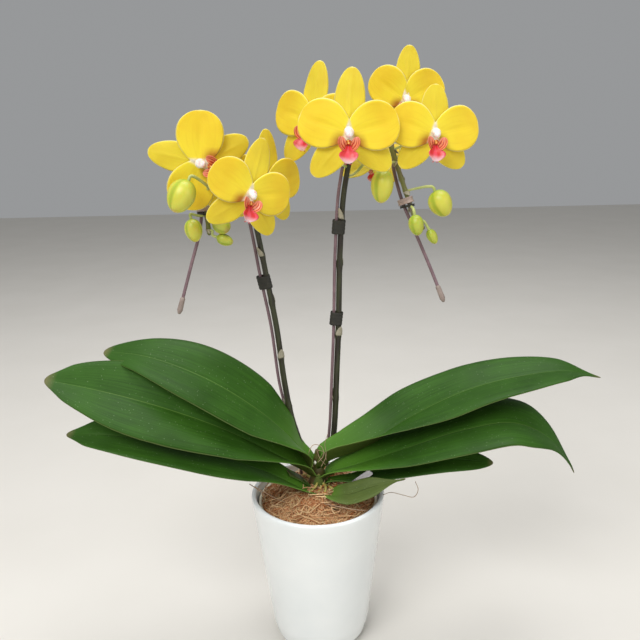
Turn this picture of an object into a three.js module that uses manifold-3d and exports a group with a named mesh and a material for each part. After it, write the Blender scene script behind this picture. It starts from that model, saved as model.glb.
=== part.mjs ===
// A potted moth orchid: two arching flower spikes with yellow flowers and buds, seven strap
// leaves, and a glazed cover pot that holds a thin nursery pot filled with coir.
//
// Millimetres, +Z up. The origin is the centre of the cover pot's flat base, -Y is the front.
// Every mesh is one closed solid, and neighbours that touch are kept GAP apart.

import * as THREE from "three";
import { mergeVertices } from "three/addons/utils/BufferGeometryUtils.js";
import Module from "manifold-3d";

const wasm = await Module();
wasm.setup();

// ---------------------------------------------------------------- driving dimensions
const GAP = 0.3; // clearance between touching pieces
const ROUND_STEPS = 32; // facets round each pot
const CURVE_SAMPLES = 600; // points compared when looking along a curve

const POT_HEIGHT = 160;
const POT_RIM_RADIUS = 67.5; // outside, at the top
const POT_BASE_RADIUS = 48; // outside, where the cone would meet the table
const POT_WALL = 4.8;
const POT_FLOOR = 7;
const POT_BASE_ROUND = 10; // radius of the rounded bottom edge
const POT_FILLET = 6; // slope between the floor and the wall inside

const NURSERY_WALL = 1.2;
const NURSERY_RIM_HEIGHT = 152; // top of its rim above the table
const NURSERY_RIM_RADIUS = 60;
const NURSERY_BASE_RADIUS = 37;
const NURSERY_LIP = 1; // how far its rolled rim stands out
const NURSERY_LIP_DEPTH = 4;
const DRAIN_HOLES = 5;
const DRAIN_HOLE_RADIUS = 4;
const DRAIN_HOLE_REACH = 24; // from the middle of the base

const COIR_EDGE_HEIGHT = 153; // where the coir meets the nursery pot
const COIR_TOP_HEIGHT = 167; // the middle of the heap
const COIR_HEAP_RADIUS = 26; // the flat middle of the heap
const COIR_SHOULDER = 4; // how far below its edge the coir starts to curve over

const CROWN_RADIUS = 9.5;
const CROWN_FOOT = 148; // the crown's lower end, down in the coir
const CROWN_TOP = 206;

const SPIKE_RADIUS = 2.7;
const STAKE_RADIUS = 1.5;
const PEDICEL_RADIUS = 1.4;
const CAP_RADIUS = 2.6;
const CAP_LENGTH = 13;
const CAP_DEPTH = 4; // solid end of the cap, beyond the stake
const TIE = { height: 13, wall: 0.8, hanging: false };
const CLIP = { height: 5, wall: 1.1, hanging: true };

const LEAF_THICKNESS = 2.2; // along the midrib
const LEAF_EDGE_THICKNESS = 1;
const LEAF_TROUGH = 0.12; // radians each half still stands up where the leaf is fully open
const PETAL_THICKNESS = 1;

// ---------------------------------------------------------------- materials
const surface = (color, roughness, metalness = 0) =>
  new THREE.MeshStandardMaterial({ color, roughness, metalness });

const materials = {
  glaze: surface(0xe9eceb, 0.12),
  nurseryPlastic: surface(0xd8cdb2, 0.45),
  coir: surface(0xa5714b, 0.95),
  crown: surface(0x55682e, 0.6),
  leaf: surface(0x24541c, 0.38),
  oldLeaf: surface(0x5f6b34, 0.55),
  spike: surface(0x4a4a2a, 0.55),
  stake: surface(0x8b6f6c, 0.5),
  tie: surface(0x17161a, 0.5),
  clip: surface(0x8d7a72, 0.45),
  label: surface(0xe4e2e4, 0.4),
  bud: surface(0xc8cf3c, 0.45),
  sepal: surface(0xf2d532, 0.5),
  petal: surface(0xf6dc3e, 0.5),
  lip: surface(0xc8452c, 0.45),
};

// ---------------------------------------------------------------- geometry helpers
const vec = (x, y, z) => new THREE.Vector3(x, y, z);
const curveThrough = (points) => new THREE.CatmullRomCurve3(points.map((p) => vec(...p)));
const smooth = (t) => t * t * (3 - 2 * t);

const root = new THREE.Group();

// Adds a named mesh to a group, which is the whole plant unless another is given.
function add(name, geometry, material, parent = root) {
  const mesh = new THREE.Mesh(geometry, material);
  mesh.name = name;
  parent.add(mesh);
  return mesh;
}

// A closed geometry as a manifold-3d solid.
function solidOf(geometry) {
  const bare = geometry.index ? geometry.toNonIndexed() : geometry.clone();
  bare.deleteAttribute("normal");
  bare.deleteAttribute("uv");
  const merged = mergeVertices(bare, 1e-3);
  return new wasm.Manifold(
    new wasm.Mesh({
      numProp: 3,
      vertProperties: new Float32Array(merged.attributes.position.array),
      triVerts: new Uint32Array(merged.index.array),
    }),
  );
}

// A manifold-3d solid as a three.js geometry.
function geometryOf(solid) {
  const mesh = solid.getMesh();
  const geometry = new THREE.BufferGeometry();
  geometry.setAttribute("position", new THREE.BufferAttribute(mesh.vertProperties, 3));
  geometry.setIndex(new THREE.BufferAttribute(mesh.triVerts, 1));
  geometry.computeVertexNormals();
  return geometry;
}

// Closed geometries that overlap, joined into one.
function joined(geometries) {
  return geometryOf(geometries.map(solidOf).reduce((whole, next) => whole.add(next)));
}

// A geometry with the others cut out of it.
function cut(geometry, tools) {
  return geometryOf(tools.map(solidOf).reduce((rest, tool) => rest.subtract(tool), solidOf(geometry)));
}

// A profile of [radius, height] points turned round Z. It starts and ends on the axis.
function turned(profile, steps) {
  const points = profile.map(([radius, height]) => new THREE.Vector2(radius, height));
  return new THREE.LatheGeometry(points, steps).rotateX(Math.PI / 2);
}

// A round tube with flat ends along a curve.
function tube(curve, radius, sides, steps) {
  const section = new THREE.Shape().absarc(0, 0, radius, 0, 2 * Math.PI);
  return new THREE.ExtrudeGeometry(section, {
    steps,
    curveSegments: sides / 2,
    extrudePath: curve,
  });
}

// A thin slab of across x along cells, bent into shape: place(u, v, w) gives the point for
// u from -1 to 1 across, v from 0 to 1 along, and w from -1 (back) to 1 (front).
function slab(across, along, place) {
  const geometry = new THREE.BoxGeometry(2, 1, 2, across, along, 1).translate(0, 0.5, 0);
  const position = geometry.attributes.position;
  const point = new THREE.Vector3();
  for (let i = 0; i < position.count; i++) {
    point.fromBufferAttribute(position, i);
    point.copy(place(point.x, point.y, point.z));
    position.setXYZ(i, point.x, point.y, point.z);
  }
  return geometry;
}

// The point of a curve that lies closest to a given point.
function nearestOn(curve, point) {
  const points = curve.getSpacedPoints(CURVE_SAMPLES);
  return points.reduce((a, b) => (b.distanceTo(point) < a.distanceTo(point) ? b : a));
}

// ---------------------------------------------------------------- pots and coir
// Radius of the cover pot's outside at a height.
const potRadiusAt = (z) => POT_BASE_RADIUS + (POT_RIM_RADIUS - POT_BASE_RADIUS) * (z / POT_HEIGHT);

// The cover pot: a plain cone with a rounded bottom edge and a half-round lip.
function ceramicPot() {
  const profile = [[0, 0]];
  const foot = potRadiusAt(0) - POT_BASE_ROUND;
  for (let i = 0; i <= 4; i++) {
    const a = (i / 4) * (Math.PI / 2);
    profile.push([foot + POT_BASE_ROUND * Math.sin(a), POT_BASE_ROUND * (1 - Math.cos(a))]);
  }
  const lip = POT_WALL / 2;
  const lipHeight = POT_HEIGHT - lip;
  const lipCentre = potRadiusAt(lipHeight) - lip;
  for (let i = 0; i <= 6; i++) {
    const a = (i / 6) * Math.PI;
    profile.push([lipCentre + lip * Math.cos(a), lipHeight + lip * Math.sin(a)]);
  }
  const wallFoot = POT_FLOOR + POT_FILLET;
  profile.push([potRadiusAt(wallFoot) - POT_WALL, wallFoot]);
  profile.push([potRadiusAt(POT_FLOOR) - POT_WALL - POT_FILLET, POT_FLOOR]);
  profile.push([0, POT_FLOOR]);
  return turned(profile, ROUND_STEPS);
}

// The nursery pot stands on the cover pot's floor. Water drains through holes in its base.
const nurseryFoot = POT_FLOOR + GAP;
const nurseryRadiusAt = (z) =>
  NURSERY_BASE_RADIUS +
  ((NURSERY_RIM_RADIUS - NURSERY_LIP - NURSERY_BASE_RADIUS) * (z - nurseryFoot)) /
    (NURSERY_RIM_HEIGHT - nurseryFoot);

function nurseryPot() {
  const rim = NURSERY_RIM_HEIGHT;
  const body = turned(
    [
      [0, nurseryFoot],
      [NURSERY_BASE_RADIUS, nurseryFoot],
      [nurseryRadiusAt(rim - NURSERY_LIP_DEPTH), rim - NURSERY_LIP_DEPTH],
      [NURSERY_RIM_RADIUS, rim - NURSERY_LIP_DEPTH],
      [NURSERY_RIM_RADIUS, rim],
      [nurseryRadiusAt(rim) - NURSERY_WALL, rim],
      [NURSERY_BASE_RADIUS - NURSERY_WALL, nurseryFoot + NURSERY_WALL],
      [0, nurseryFoot + NURSERY_WALL],
    ],
    ROUND_STEPS,
  );
  const holes = [];
  for (let i = 0; i < DRAIN_HOLES; i++) {
    const a = (i / DRAIN_HOLES) * 2 * Math.PI;
    const hole = new THREE.CylinderGeometry(DRAIN_HOLE_RADIUS, DRAIN_HOLE_RADIUS, 10, 12);
    hole.rotateX(Math.PI / 2);
    hole.translate(DRAIN_HOLE_REACH * Math.cos(a), DRAIN_HOLE_REACH * Math.sin(a), nurseryFoot);
    holes.push(hole);
  }
  return cut(body, holes);
}

// Height of the coir's heaped top at a distance from the middle.
const coirEdgeRadius = nurseryRadiusAt(COIR_EDGE_HEIGHT - COIR_SHOULDER) - NURSERY_WALL - GAP;
function coirHeightAt(radius) {
  const t = Math.max(0, (radius - COIR_HEAP_RADIUS) / (coirEdgeRadius - COIR_HEAP_RADIUS));
  return COIR_TOP_HEIGHT + (COIR_EDGE_HEIGHT - COIR_TOP_HEIGHT) * smooth(Math.min(1, t));
}

// Coir fills the nursery pot, heaps up round the crown, and is open where the crown stands.
function coirMedium(pushedIn) {
  const foot = nurseryFoot + NURSERY_WALL + GAP;
  const well = CROWN_RADIUS + GAP;
  const profile = [
    [0, foot],
    [nurseryRadiusAt(foot) - NURSERY_WALL - 2 * GAP, foot],
    [coirEdgeRadius, COIR_EDGE_HEIGHT - COIR_SHOULDER],
  ];
  for (let i = 0; i <= 4; i++) {
    const radius = coirEdgeRadius + (well + 2 - coirEdgeRadius) * (i / 4);
    profile.push([radius, coirHeightAt(radius)]);
  }
  profile.push([well, COIR_TOP_HEIGHT - 2]);
  profile.push([well, CROWN_FOOT - GAP]);
  profile.push([0, CROWN_FOOT - GAP]);
  return cut(turned(profile, ROUND_STEPS), pushedIn);
}

// ---------------------------------------------------------------- crown and leaves
// The short stem that carries the leaves.
function plantCrown() {
  return turned(
    [
      [0, CROWN_FOOT],
      [CROWN_RADIUS - 2, CROWN_FOOT],
      [CROWN_RADIUS, CROWN_FOOT + 12],
      [CROWN_RADIUS, CROWN_FOOT + 34],
      [CROWN_RADIUS - 4, CROWN_TOP - 8],
      [2, CROWN_TOP],
      [0, CROWN_TOP],
    ],
    16,
  );
}

// Share of a leaf's full width at v along it: a narrow folded foot, a broad middle and a
// rounded tip.
const leafWidthAt = (v) => 0.28 * (1 - v) ** 3 + 0.07 + 0.93 * Math.sin(Math.PI * v ** 1.15) ** 0.7;

// One leaf along a spine. roll tips its front edge down, in degrees, and fold is how far its
// halves stand up from flat at its foot, from which the leaf opens towards its tip.
function leaf({ spine, width, roll, fold }) {
  const curve = curveThrough(spine);
  const up = vec(0, 0, 1);
  return slab(4, 11, (u, v, w) => {
    const along = curve.getTangentAt(v);
    const face = Math.sign(along.x) * THREE.MathUtils.degToRad(roll) * Math.min(1, v * 3);
    const side = along.clone().cross(up).normalize().applyAxisAngle(along, face);
    const normal = side.clone().cross(along);
    const opening = THREE.MathUtils.degToRad(fold) * (1 - smooth(Math.min(1, v * 1.6))) + LEAF_TROUGH;
    const half = (width / 2) * leafWidthAt(v);
    const thickness = THREE.MathUtils.lerp(LEAF_THICKNESS, LEAF_EDGE_THICKNESS, Math.abs(u));
    return curve
      .getPointAt(v)
      .addScaledVector(side, u * half * Math.cos(opening))
      .addScaledVector(normal, Math.abs(u) * half * Math.sin(opening) + (w * thickness) / 2);
  });
}

const leaves = {
  leaf_left_upper: {
    spine: [
      [-12, 1, 194], [-28, -4, 221], [-60, -8, 254], [-105, -7, 285],
      [-158, 0, 303], [-203, 8, 307],
    ],
    width: 72,
    roll: 24,
    fold: 25,
  },
  leaf_left_middle: {
    spine: [
      [-12, -4, 184], [-38, -15, 206], [-85, -28, 240], [-140, -33, 264],
      [-198, -33, 282], [-244, -38, 298],
    ],
    width: 78,
    roll: 33,
    fold: 20,
  },
  leaf_left_lower: {
    spine: [
      [-12, -4, 173], [-42, -22, 190], [-80, -36, 211], [-130, -43, 231],
      [-184, -46, 245], [-229, -42, 246],
    ],
    width: 62,
    roll: 20,
    fold: 25,
  },
  leaf_right_upper: {
    spine: [
      [11, 1, 192], [34, 3, 200], [56, 5, 210], [98, 6, 236],
      [150, 5, 262], [200, 2, 276], [245, 0, 281], [276, 0, 274],
    ],
    width: 72,
    roll: 13,
    fold: 45,
  },
  leaf_right_middle: {
    spine: [
      [12, -3, 179], [44, -12, 192], [90, -18, 213], [140, -22, 234],
      [186, -25, 243], [218, -29, 229], [241, -33, 199],
    ],
    width: 70,
    roll: 9,
    fold: 20,
  },
  leaf_right_lower: {
    spine: [
      [12, -2, 170], [38, -5, 172], [76, -14, 184], [122, -25, 199],
      [167, -33, 203],
    ],
    width: 30,
    roll: 8,
    fold: 20,
  },
  leaf_right_old: {
    spine: [
      [17, -23, 169], [32, -32, 174], [50, -38, 182], [68, -40, 189],
      [84, -38, 191],
    ],
    width: 26,
    roll: 40,
    fold: 25,
  },
};

// ---------------------------------------------------------------- spikes, stakes and ties
// Each spike leaves a leaf axil, climbs, arches over and hangs down to its last buds.
const spikes = {
  left: curveThrough([
    [-16, 17, 200], [-25, 25, 228], [-31, 27, 264], [-37, 24, 326], [-44, 18, 376], [-50, 12, 419],
    [-56, 5, 455], [-65, -4, 480], [-77, -13, 486], [-88, -18, 474], [-91, -21, 455], [-89, -24, 424],
  ]),
  right: curveThrough([
    [16, 18, 200], [18.5, 19, 225], [21, 16, 275], [23.5, 13, 325], [26, 9, 403], [31, 4, 462],
    [40, -1, 496], [54, -5, 510], [67, -9, 502], [76, -15, 477], [85, -20, 450],
    [90, -23, 436], [98, -25, 425],
  ]),
};

// A stiff wire stake stands in the coir beside each spike, bends over with it and runs on past
// its tip to a capped end.
const stakes = {
  left: curveThrough([
    [-12, 18, 60], [-15, 21, 150], [-22, 25, 200], [-30, 30, 232], [-36.5, 30, 264], [-43, 26, 326],
    [-50, 20, 376], [-55.5, 13.5, 419], [-61.5, 7, 456], [-68, 1, 481], [-78, -6, 491], [-90, -12, 481],
    [-96, -15, 458], [-96, -17, 440], [-99, -17, 424], [-108, -18, 396], [-120, -20, 358],
  ]),
  right: curveThrough([
    [8, 18, 60], [9, 19, 150], [10.5, 19, 200], [12.5, 18, 225], [15.3, 15.5, 275], [18, 12.5, 325],
    [20.5, 8.5, 403], [25.5, 3.5, 463], [36, 4, 499], [52, 3, 515], [70, -1, 505], [73, -8, 477],
    [79.5, -17, 450], [88, -16, 430], [97, -19, 409], [105, -22, 390], [115, -25, 365],
  ]),
};

// A band round a spike and its stake where the spike passes height z.
function band(side, z, { height, wall, hanging }) {
  const { point, tangent } = spikeAt(side, z, hanging);
  const stakePoint = nearestOn(stakes[side], point);
  const apart = point.distanceTo(stakePoint);
  const inner = SPIKE_RADIUS + 2 * GAP;
  const shape = stadium(apart, inner + wall, new THREE.Shape());
  shape.holes.push(stadium(apart, inner, new THREE.Path()));
  const geometry = new THREE.ExtrudeGeometry(shape, {
    depth: height,
    curveSegments: 3,
    bevelEnabled: false,
  }).translate(0, 0, -height / 2);
  const x = point.clone().sub(stakePoint).normalize();
  const y = tangent.clone().cross(x).normalize();
  const turn = new THREE.Matrix4().makeBasis(x, y, x.clone().cross(y));
  return geometry.applyMatrix4(turn.setPosition(point.clone().lerp(stakePoint, 0.5)));
}

// A racetrack outline round two centres that lie apart along X.
function stadium(apart, radius, outline) {
  outline.absarc(apart / 2, 0, radius, -Math.PI / 2, Math.PI / 2);
  outline.absarc(-apart / 2, 0, radius, Math.PI / 2, (3 * Math.PI) / 2);
  outline.closePath();
  return outline;
}

// The rounded cap pushed over a stake's free end.
function stakeCap(curve) {
  const socket = STAKE_RADIUS + GAP;
  const geometry = turned(
    [
      [0, 0],
      [CAP_RADIUS * 0.7, 0.9],
      [CAP_RADIUS, 3],
      [CAP_RADIUS * 0.85, CAP_LENGTH],
      [socket, CAP_LENGTH],
      [socket, CAP_DEPTH],
      [0, CAP_DEPTH],
    ],
    10,
  );
  const back = curve.getTangentAt(1).negate();
  const turn = new THREE.Quaternion().setFromUnitVectors(vec(0, 0, 1), back);
  const end = curve.getPointAt(1).addScaledVector(back, -CAP_DEPTH - GAP);
  return geometry.applyQuaternion(turn).translate(end.x, end.y, end.z);
}

// ---------------------------------------------------------------- plant label
const LABEL_LENGTH = 52;
const LABEL_WIDTH = 8;
const LABEL_THICKNESS = 0.9;
const LABEL_TOP = vec(52, -21, 190);
const LABEL_FOOT = vec(15, -17, 158);

// The blank label is a flat strip pushed into the coir, leaning out to the right. grow makes
// the slot that it stands in.
function plantLabel(grow = 0) {
  const along = LABEL_TOP.clone().sub(LABEL_FOOT).normalize();
  const across = vec(0.35, -0.75, 0).cross(along).normalize();
  const box = new THREE.BoxGeometry(LABEL_WIDTH + grow, LABEL_LENGTH + grow, LABEL_THICKNESS + grow);
  box.applyMatrix4(new THREE.Matrix4().makeBasis(across, along, across.clone().cross(along)));
  const middle = LABEL_TOP.clone().addScaledVector(along, -LABEL_LENGTH / 2);
  return box.translate(middle.x, middle.y, middle.z);
}

// ---------------------------------------------------------------- flowers
const FLOWER_REACH = 43; // centre to the tip of a petal on a full-size flower
const DORSAL_REACH = 50; // the upper sepal
const LATERAL_REACH = 45; // the two lower sepals
const PETAL_WIDTH = 41;
const SEPAL_WIDTH = 25;
const PETAL_ANGLES = [12, 168]; // anticlockwise from the flower's right
const SEPAL_ANGLES = [90, -46, 226]; // the upper sepal comes first
const BLADE_START = -2.5; // blades cross the centre, so that a whorl is one body

// How far a blade bends back from the flower's plane at a distance from its centre.
const bendAt = (radius) => -3.5 * (radius / FLOWER_REACH) ** 2;

// One petal or sepal in the flower's own frame: X right, Y up, Z out towards the viewer.
function floralBlade({ angle, reach, width, widthAt, lift, across, cup }) {
  const direction = THREE.MathUtils.degToRad(angle);
  return slab(across, 4, (u, v, w) => {
    const radius = BLADE_START + (reach - BLADE_START) * v;
    const x = (u * width * widthAt(v)) / 2;
    const z = lift + bendAt(radius) + cup * u * u * v + (w * PETAL_THICKNESS) / 2;
    return vec(
      radius * Math.cos(direction) + x * Math.sin(direction),
      radius * Math.sin(direction) - x * Math.cos(direction),
      z,
    );
  });
}

const petalWidthAt = (v) => 0.16 + 0.84 * Math.sin(Math.PI * v ** 1.25 * 0.93) ** 0.75;
const sepalWidthAt = (v) => 0.18 + 0.82 * Math.sin(Math.PI * v * 0.95) ** 0.85;

function petals(size) {
  return joined(
    PETAL_ANGLES.map((angle) =>
      floralBlade({
        angle,
        reach: FLOWER_REACH * size,
        width: PETAL_WIDTH * size,
        widthAt: petalWidthAt,
        lift: 1,
        across: 2,
        cup: 2,
      }),
    ),
  );
}

// The three sepals with the pedicel that carries the flower, which follows a curve.
function sepalsAndPedicel(size, stalk) {
  const blades = SEPAL_ANGLES.map((angle, i) =>
    floralBlade({
      angle,
      reach: (i === 0 ? DORSAL_REACH : LATERAL_REACH) * size,
      width: SEPAL_WIDTH * size,
      widthAt: sepalWidthAt,
      lift: -1.4,
      across: 2,
      cup: -1,
    }),
  );
  return joined([...blades, tube(stalk, PEDICEL_RADIUS, 6, 8)]);
}

// The column, and below it the lip with two upright side lobes and a long middle lobe.
function lipAndColumn(size) {
  const column = new THREE.CapsuleGeometry(2.6 * size, 5 * size, 2, 6);
  column.rotateX(Math.PI / 2 - 0.25).translate(0, 1.5, 7.5 * size);
  const middleLobe = slab(2, 3, (u, v, w) => {
    const half = size * (2.5 + 5 * Math.sin(Math.PI * v * 0.9));
    const droop = size * (1 + 19 * v);
    return vec(u * half, 1 - droop + w * 0.3, size * (4 + 10 * v - 5 * v * v) + 1 - w * 0.7);
  });
  const sideLobes = [-1, 1].map((side) =>
    slab(1, 1, (u, v, w) =>
      vec(
        side * size * (1 + 8 * v) - w * 0.6 * side,
        size * (-4 + 6 * v) - u * size * (2.2 + v) * side,
        size * (6.5 + 3 * v) + w * 0.6,
      ),
    ),
  );
  return joined([column, middleLobe, ...sideLobes]);
}

// Where each flower sits and which way it looks. turn is how far it looks to the right of
// the front, tilt how far up, and roll how far it is turned anticlockwise on its own axis,
// all in degrees. joint is the height on the spike where its pedicel starts.
const flowers = [
  { at: [-38, -6, 466], turn: 40, tilt: 0, roll: -8, size: 0.93, side: "left", joint: 447 },
  {
    at: [-49, -58, 461], turn: 30, tilt: 0, roll: -21, size: 0.92,
    side: "left", joint: 430, via: [-43, -20, 440],
  },
  { at: [-89, -42, 486], turn: 6, tilt: -4, roll: 75, size: 1, side: "left", joint: 482, hanging: true },
  { at: [59, 18, 484], turn: 165, tilt: -35, roll: 8, size: 0.75, side: "right", joint: 470 },
  {
    at: [3, -6, 517], turn: -34, tilt: 0, roll: -6, size: 1,
    side: "right", joint: 478, via: [22, -12, 492],
  },
  {
    at: [32, -54, 507], turn: 0, tilt: 3, roll: -3, size: 1,
    side: "right", joint: 499, via: [47, -22, 500],
  },
  {
    at: [85, 8, 534], turn: 4, tilt: 0, roll: -4, size: 0.88,
    side: "right", joint: 485, hanging: true, via: [84, 14, 506],
  },
  { at: [102, -42, 505], turn: 8, tilt: 4, roll: -6, size: 0.94, side: "right", joint: 492, hanging: true },
];

// The point of a spike at height z and its direction there, on its climbing or hanging side.
function spikeAt(side, z, hanging = false) {
  const points = spikes[side].getSpacedPoints(CURVE_SAMPLES);
  const top = points.indexOf(points.reduce((a, b) => (b.z > a.z ? b : a)));
  const branch = points.filter((p, i) => hanging === i > top);
  const point = branch.reduce((a, b) => (Math.abs(b.z - z) < Math.abs(a.z - z) ? b : a));
  const i = Math.max(1, Math.min(CURVE_SAMPLES - 1, points.indexOf(point)));
  return { point, tangent: points[i + 1].clone().sub(points[i - 1]).normalize() };
}

// A pedicel's curve from a spike to what it carries. It leaves the spike's surface squarely,
// may pass through a via point, and runs straight for its last stretch.
function pedicelCurve({ point, tangent }, end, arrival, stretch, via) {
  const last = end.clone().addScaledVector(arrival, -stretch);
  const next = via ? vec(...via) : last;
  const out = next.clone().sub(point);
  out.addScaledVector(tangent, -out.dot(tangent)).normalize();
  const start = point.clone().addScaledVector(out, SPIKE_RADIUS + 2.5 * GAP);
  const second = start.clone().addScaledVector(out, 4).lerp(next, 0.12);
  return new THREE.CatmullRomCurve3([start, second, ...(via ? [next] : []), last, end]);
}

function addFlower(flower, number) {
  const group = new THREE.Group();
  const turn = THREE.MathUtils.degToRad(flower.turn);
  const tilt = THREE.MathUtils.degToRad(flower.tilt);
  const out = vec(Math.sin(turn) * Math.cos(tilt), -Math.cos(turn) * Math.cos(tilt), Math.sin(tilt));
  const up = vec(-Math.sin(turn) * Math.sin(tilt), Math.cos(turn) * Math.sin(tilt), Math.cos(tilt));
  group.position.set(...flower.at);
  group.quaternion.setFromRotationMatrix(new THREE.Matrix4().makeBasis(up.clone().cross(out), up, out));
  group.rotateZ(THREE.MathUtils.degToRad(flower.roll));
  group.updateMatrixWorld();
  root.add(group);

  const stalk = pedicelCurve(
    spikeAt(flower.side, flower.joint, flower.hanging),
    vec(...flower.at).addScaledVector(out, -0.9),
    out,
    12 * flower.size,
    flower.via,
  );
  stalk.points.forEach((point) => group.worldToLocal(point));
  const name = `flower_${flower.side}_${number}`;
  add(`${name}_sepals`, sepalsAndPedicel(flower.size, stalk), materials.sepal, group);
  add(`${name}_petals`, petals(flower.size), materials.petal, group);
  add(`${name}_lip`, lipAndColumn(flower.size).translate(0, 0, 0.6), materials.lip, group);
}

// ---------------------------------------------------------------- buds
// at is a bud's middle, along the direction from its foot to its tip, length and width its
// size, and joint the height on the hanging side of the spike where its pedicel starts.
const buds = [
  {
    at: [-103, -64, 461], along: [-0.3, -0.3, -0.85], length: 28, width: 22,
    side: "left", joint: 470, via: [-120, -42, 478],
  },
  { at: [-101, -31, 429], along: [0.15, 0, -1], length: 20, width: 15, side: "left", joint: 441 },
  { at: [-77, -30, 433], along: [0.5, -0.5, -0.4], length: 18, width: 15, side: "left", joint: 440 },
  { at: [-75, -29, 420], along: [0.9, -0.1, -0.35], length: 15, width: 10, side: "left", joint: 428 },
  { at: [61, -34, 463], along: [-0.1, 0, -1], length: 28, width: 19, side: "right", joint: 482 },
  { at: [112, -27, 447], along: [0.45, 0, -0.85], length: 24, width: 20, side: "right", joint: 457 },
  { at: [90, -36, 430], along: [0.2, 0, -1], length: 18, width: 13, side: "right", joint: 444 },
  { at: [105, -29, 419], along: [0.45, 0, -0.85], length: 14, width: 9, side: "right", joint: 430 },
];

// An egg-shaped bud on its pedicel.
function bud({ at, along, length, width, side, joint, via }) {
  const direction = vec(...along).normalize();
  const profile = [];
  for (let i = 0; i <= 6; i++) {
    const a = (i / 6) * Math.PI;
    profile.push([(width / 2) * Math.sin(a) * (1 + 0.12 * Math.cos(a)), (-length / 2) * Math.cos(a)]);
  }
  profile[0][0] = 0;
  profile[6][0] = 0;
  const egg = turned(profile, 8);
  egg.applyQuaternion(new THREE.Quaternion().setFromUnitVectors(vec(0, 0, 1), direction));
  egg.translate(...at);
  const foot = vec(...at).addScaledVector(direction, -length / 2 + 1);
  const stalk = pedicelCurve(spikeAt(side, joint, true), foot, direction, 5, via);
  return joined([egg, tube(stalk, PEDICEL_RADIUS * 0.85, 6, 7)]);
}

// ---------------------------------------------------------------- assembly
const stakeHoles = Object.values(stakes).map((curve) => tube(curve, STAKE_RADIUS + 2 * GAP, 6, 44));

add("ceramic_pot", ceramicPot(), materials.glaze);
add("nursery_pot", nurseryPot(), materials.nurseryPlastic);
add("coir_medium", coirMedium([plantLabel(2 * GAP), ...stakeHoles]), materials.coir);
add("plant_crown", plantCrown(), materials.crown);
add("plant_label", plantLabel(), materials.label);

for (const [name, shape] of Object.entries(leaves)) {
  add(name, leaf(shape), name.endsWith("old") ? materials.oldLeaf : materials.leaf);
}
for (const side of ["left", "right"]) {
  add(`flower_spike_${side}`, tube(spikes[side], SPIKE_RADIUS, 8, 32), materials.spike);
  add(`stake_${side}`, tube(stakes[side], STAKE_RADIUS, 6, 44), materials.stake);
  add(`stake_cap_${side}`, stakeCap(stakes[side]), materials.stake);
}

add("tie_left", band("left", 372, TIE), materials.tie);
add("tie_right_lower", band("right", 336, TIE), materials.tie);
add("tie_right_upper", band("right", 424, TIE), materials.tie);
add("clip_left", band("left", 447, CLIP), materials.clip);
add("clip_right", band("right", 450, CLIP), materials.clip);

flowers.forEach((flower, i) => addFlower(flower, i + 1));
buds.forEach((shape, i) => add(`bud_${shape.side}_${(i % 4) + 1}`, bud(shape), materials.bud));

export default root;
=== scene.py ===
import math

import bpy
import numpy as np
from mathutils import Matrix, Vector


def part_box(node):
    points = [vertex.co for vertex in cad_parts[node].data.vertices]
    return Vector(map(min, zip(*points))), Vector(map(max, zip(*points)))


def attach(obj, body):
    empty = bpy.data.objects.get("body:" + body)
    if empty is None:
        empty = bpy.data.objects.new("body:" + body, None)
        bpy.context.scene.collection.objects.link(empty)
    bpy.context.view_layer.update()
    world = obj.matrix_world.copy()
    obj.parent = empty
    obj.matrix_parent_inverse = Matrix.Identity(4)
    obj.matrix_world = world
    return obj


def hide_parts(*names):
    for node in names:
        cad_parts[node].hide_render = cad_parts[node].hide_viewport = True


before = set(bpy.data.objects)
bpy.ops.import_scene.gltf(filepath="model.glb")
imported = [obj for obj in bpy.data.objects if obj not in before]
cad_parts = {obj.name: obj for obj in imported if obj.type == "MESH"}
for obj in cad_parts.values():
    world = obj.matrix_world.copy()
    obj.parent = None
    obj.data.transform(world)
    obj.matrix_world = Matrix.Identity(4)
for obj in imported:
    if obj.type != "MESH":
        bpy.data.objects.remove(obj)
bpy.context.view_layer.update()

# ------------------------------------------------------------------------------- camera
# A short lens close to the plant, a little above the flowers and tipped down at the pot,
# held very slightly off level.
MM = 0.001
CAMERA_PLACE = (0.0059, -0.6087, 0.5066)
CAMERA_DIP = math.radians(15.48)
CAMERA_ROLL = math.radians(-1.26)

camera = bpy.data.objects.new("camera", bpy.data.cameras.new("camera"))
bpy.context.scene.collection.objects.link(camera)
camera.data.sensor_width = 36
camera.data.lens = 37.74
camera.matrix_world = (
    Matrix.Translation(CAMERA_PLACE)
    @ Matrix.Rotation(math.pi / 2 - CAMERA_DIP, 4, "X")
    @ Matrix.Rotation(CAMERA_ROLL, 4, "Z")
)
bpy.context.scene.camera = camera


# ---------------------------------------------------------------------------- cover pot
# A slip-cast earthenware cover pot: a plain tapering cone with a rounded foot and a
# half-round lip. It is glazed white inside and out, and the plant's own pot drops into it.
def linear(code):
    """An sRGB hex colour as linear RGBA."""
    channels = [int(code[i : i + 2], 16) / 255 for i in (0, 2, 4)]
    return [c / 12.92 if c <= 0.04045 else ((c + 0.055) / 1.055) ** 2.4 for c in channels] + [1.0]


def feed(tree, node, given):
    """Sets a node's own properties or else its inputs. A given node or socket is linked."""
    for name, value in given.items():
        if isinstance(value, bpy.types.Node):
            value = next(socket for socket in value.outputs if socket.enabled)
        if isinstance(value, bpy.types.NodeSocket):
            tree.links.new(value, node.inputs[name])
        elif isinstance(name, str) and name in node.bl_rna.properties:
            setattr(node, name, value)
        else:
            node.inputs[name].default_value = value


def add_node(tree, kind, given=None):
    """Adds a node with what it is given."""
    node = tree.nodes.new(kind)
    feed(tree, node, given or {})
    return node


def start_material(name, given):
    """A material with one Principled shader: returns it, its tree and the shader."""
    made = bpy.data.materials.new(name)
    made.use_nodes = True
    shader = made.node_tree.nodes["Principled BSDF"]
    feed(made.node_tree, shader, given)
    return made, made.node_tree, shader


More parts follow.
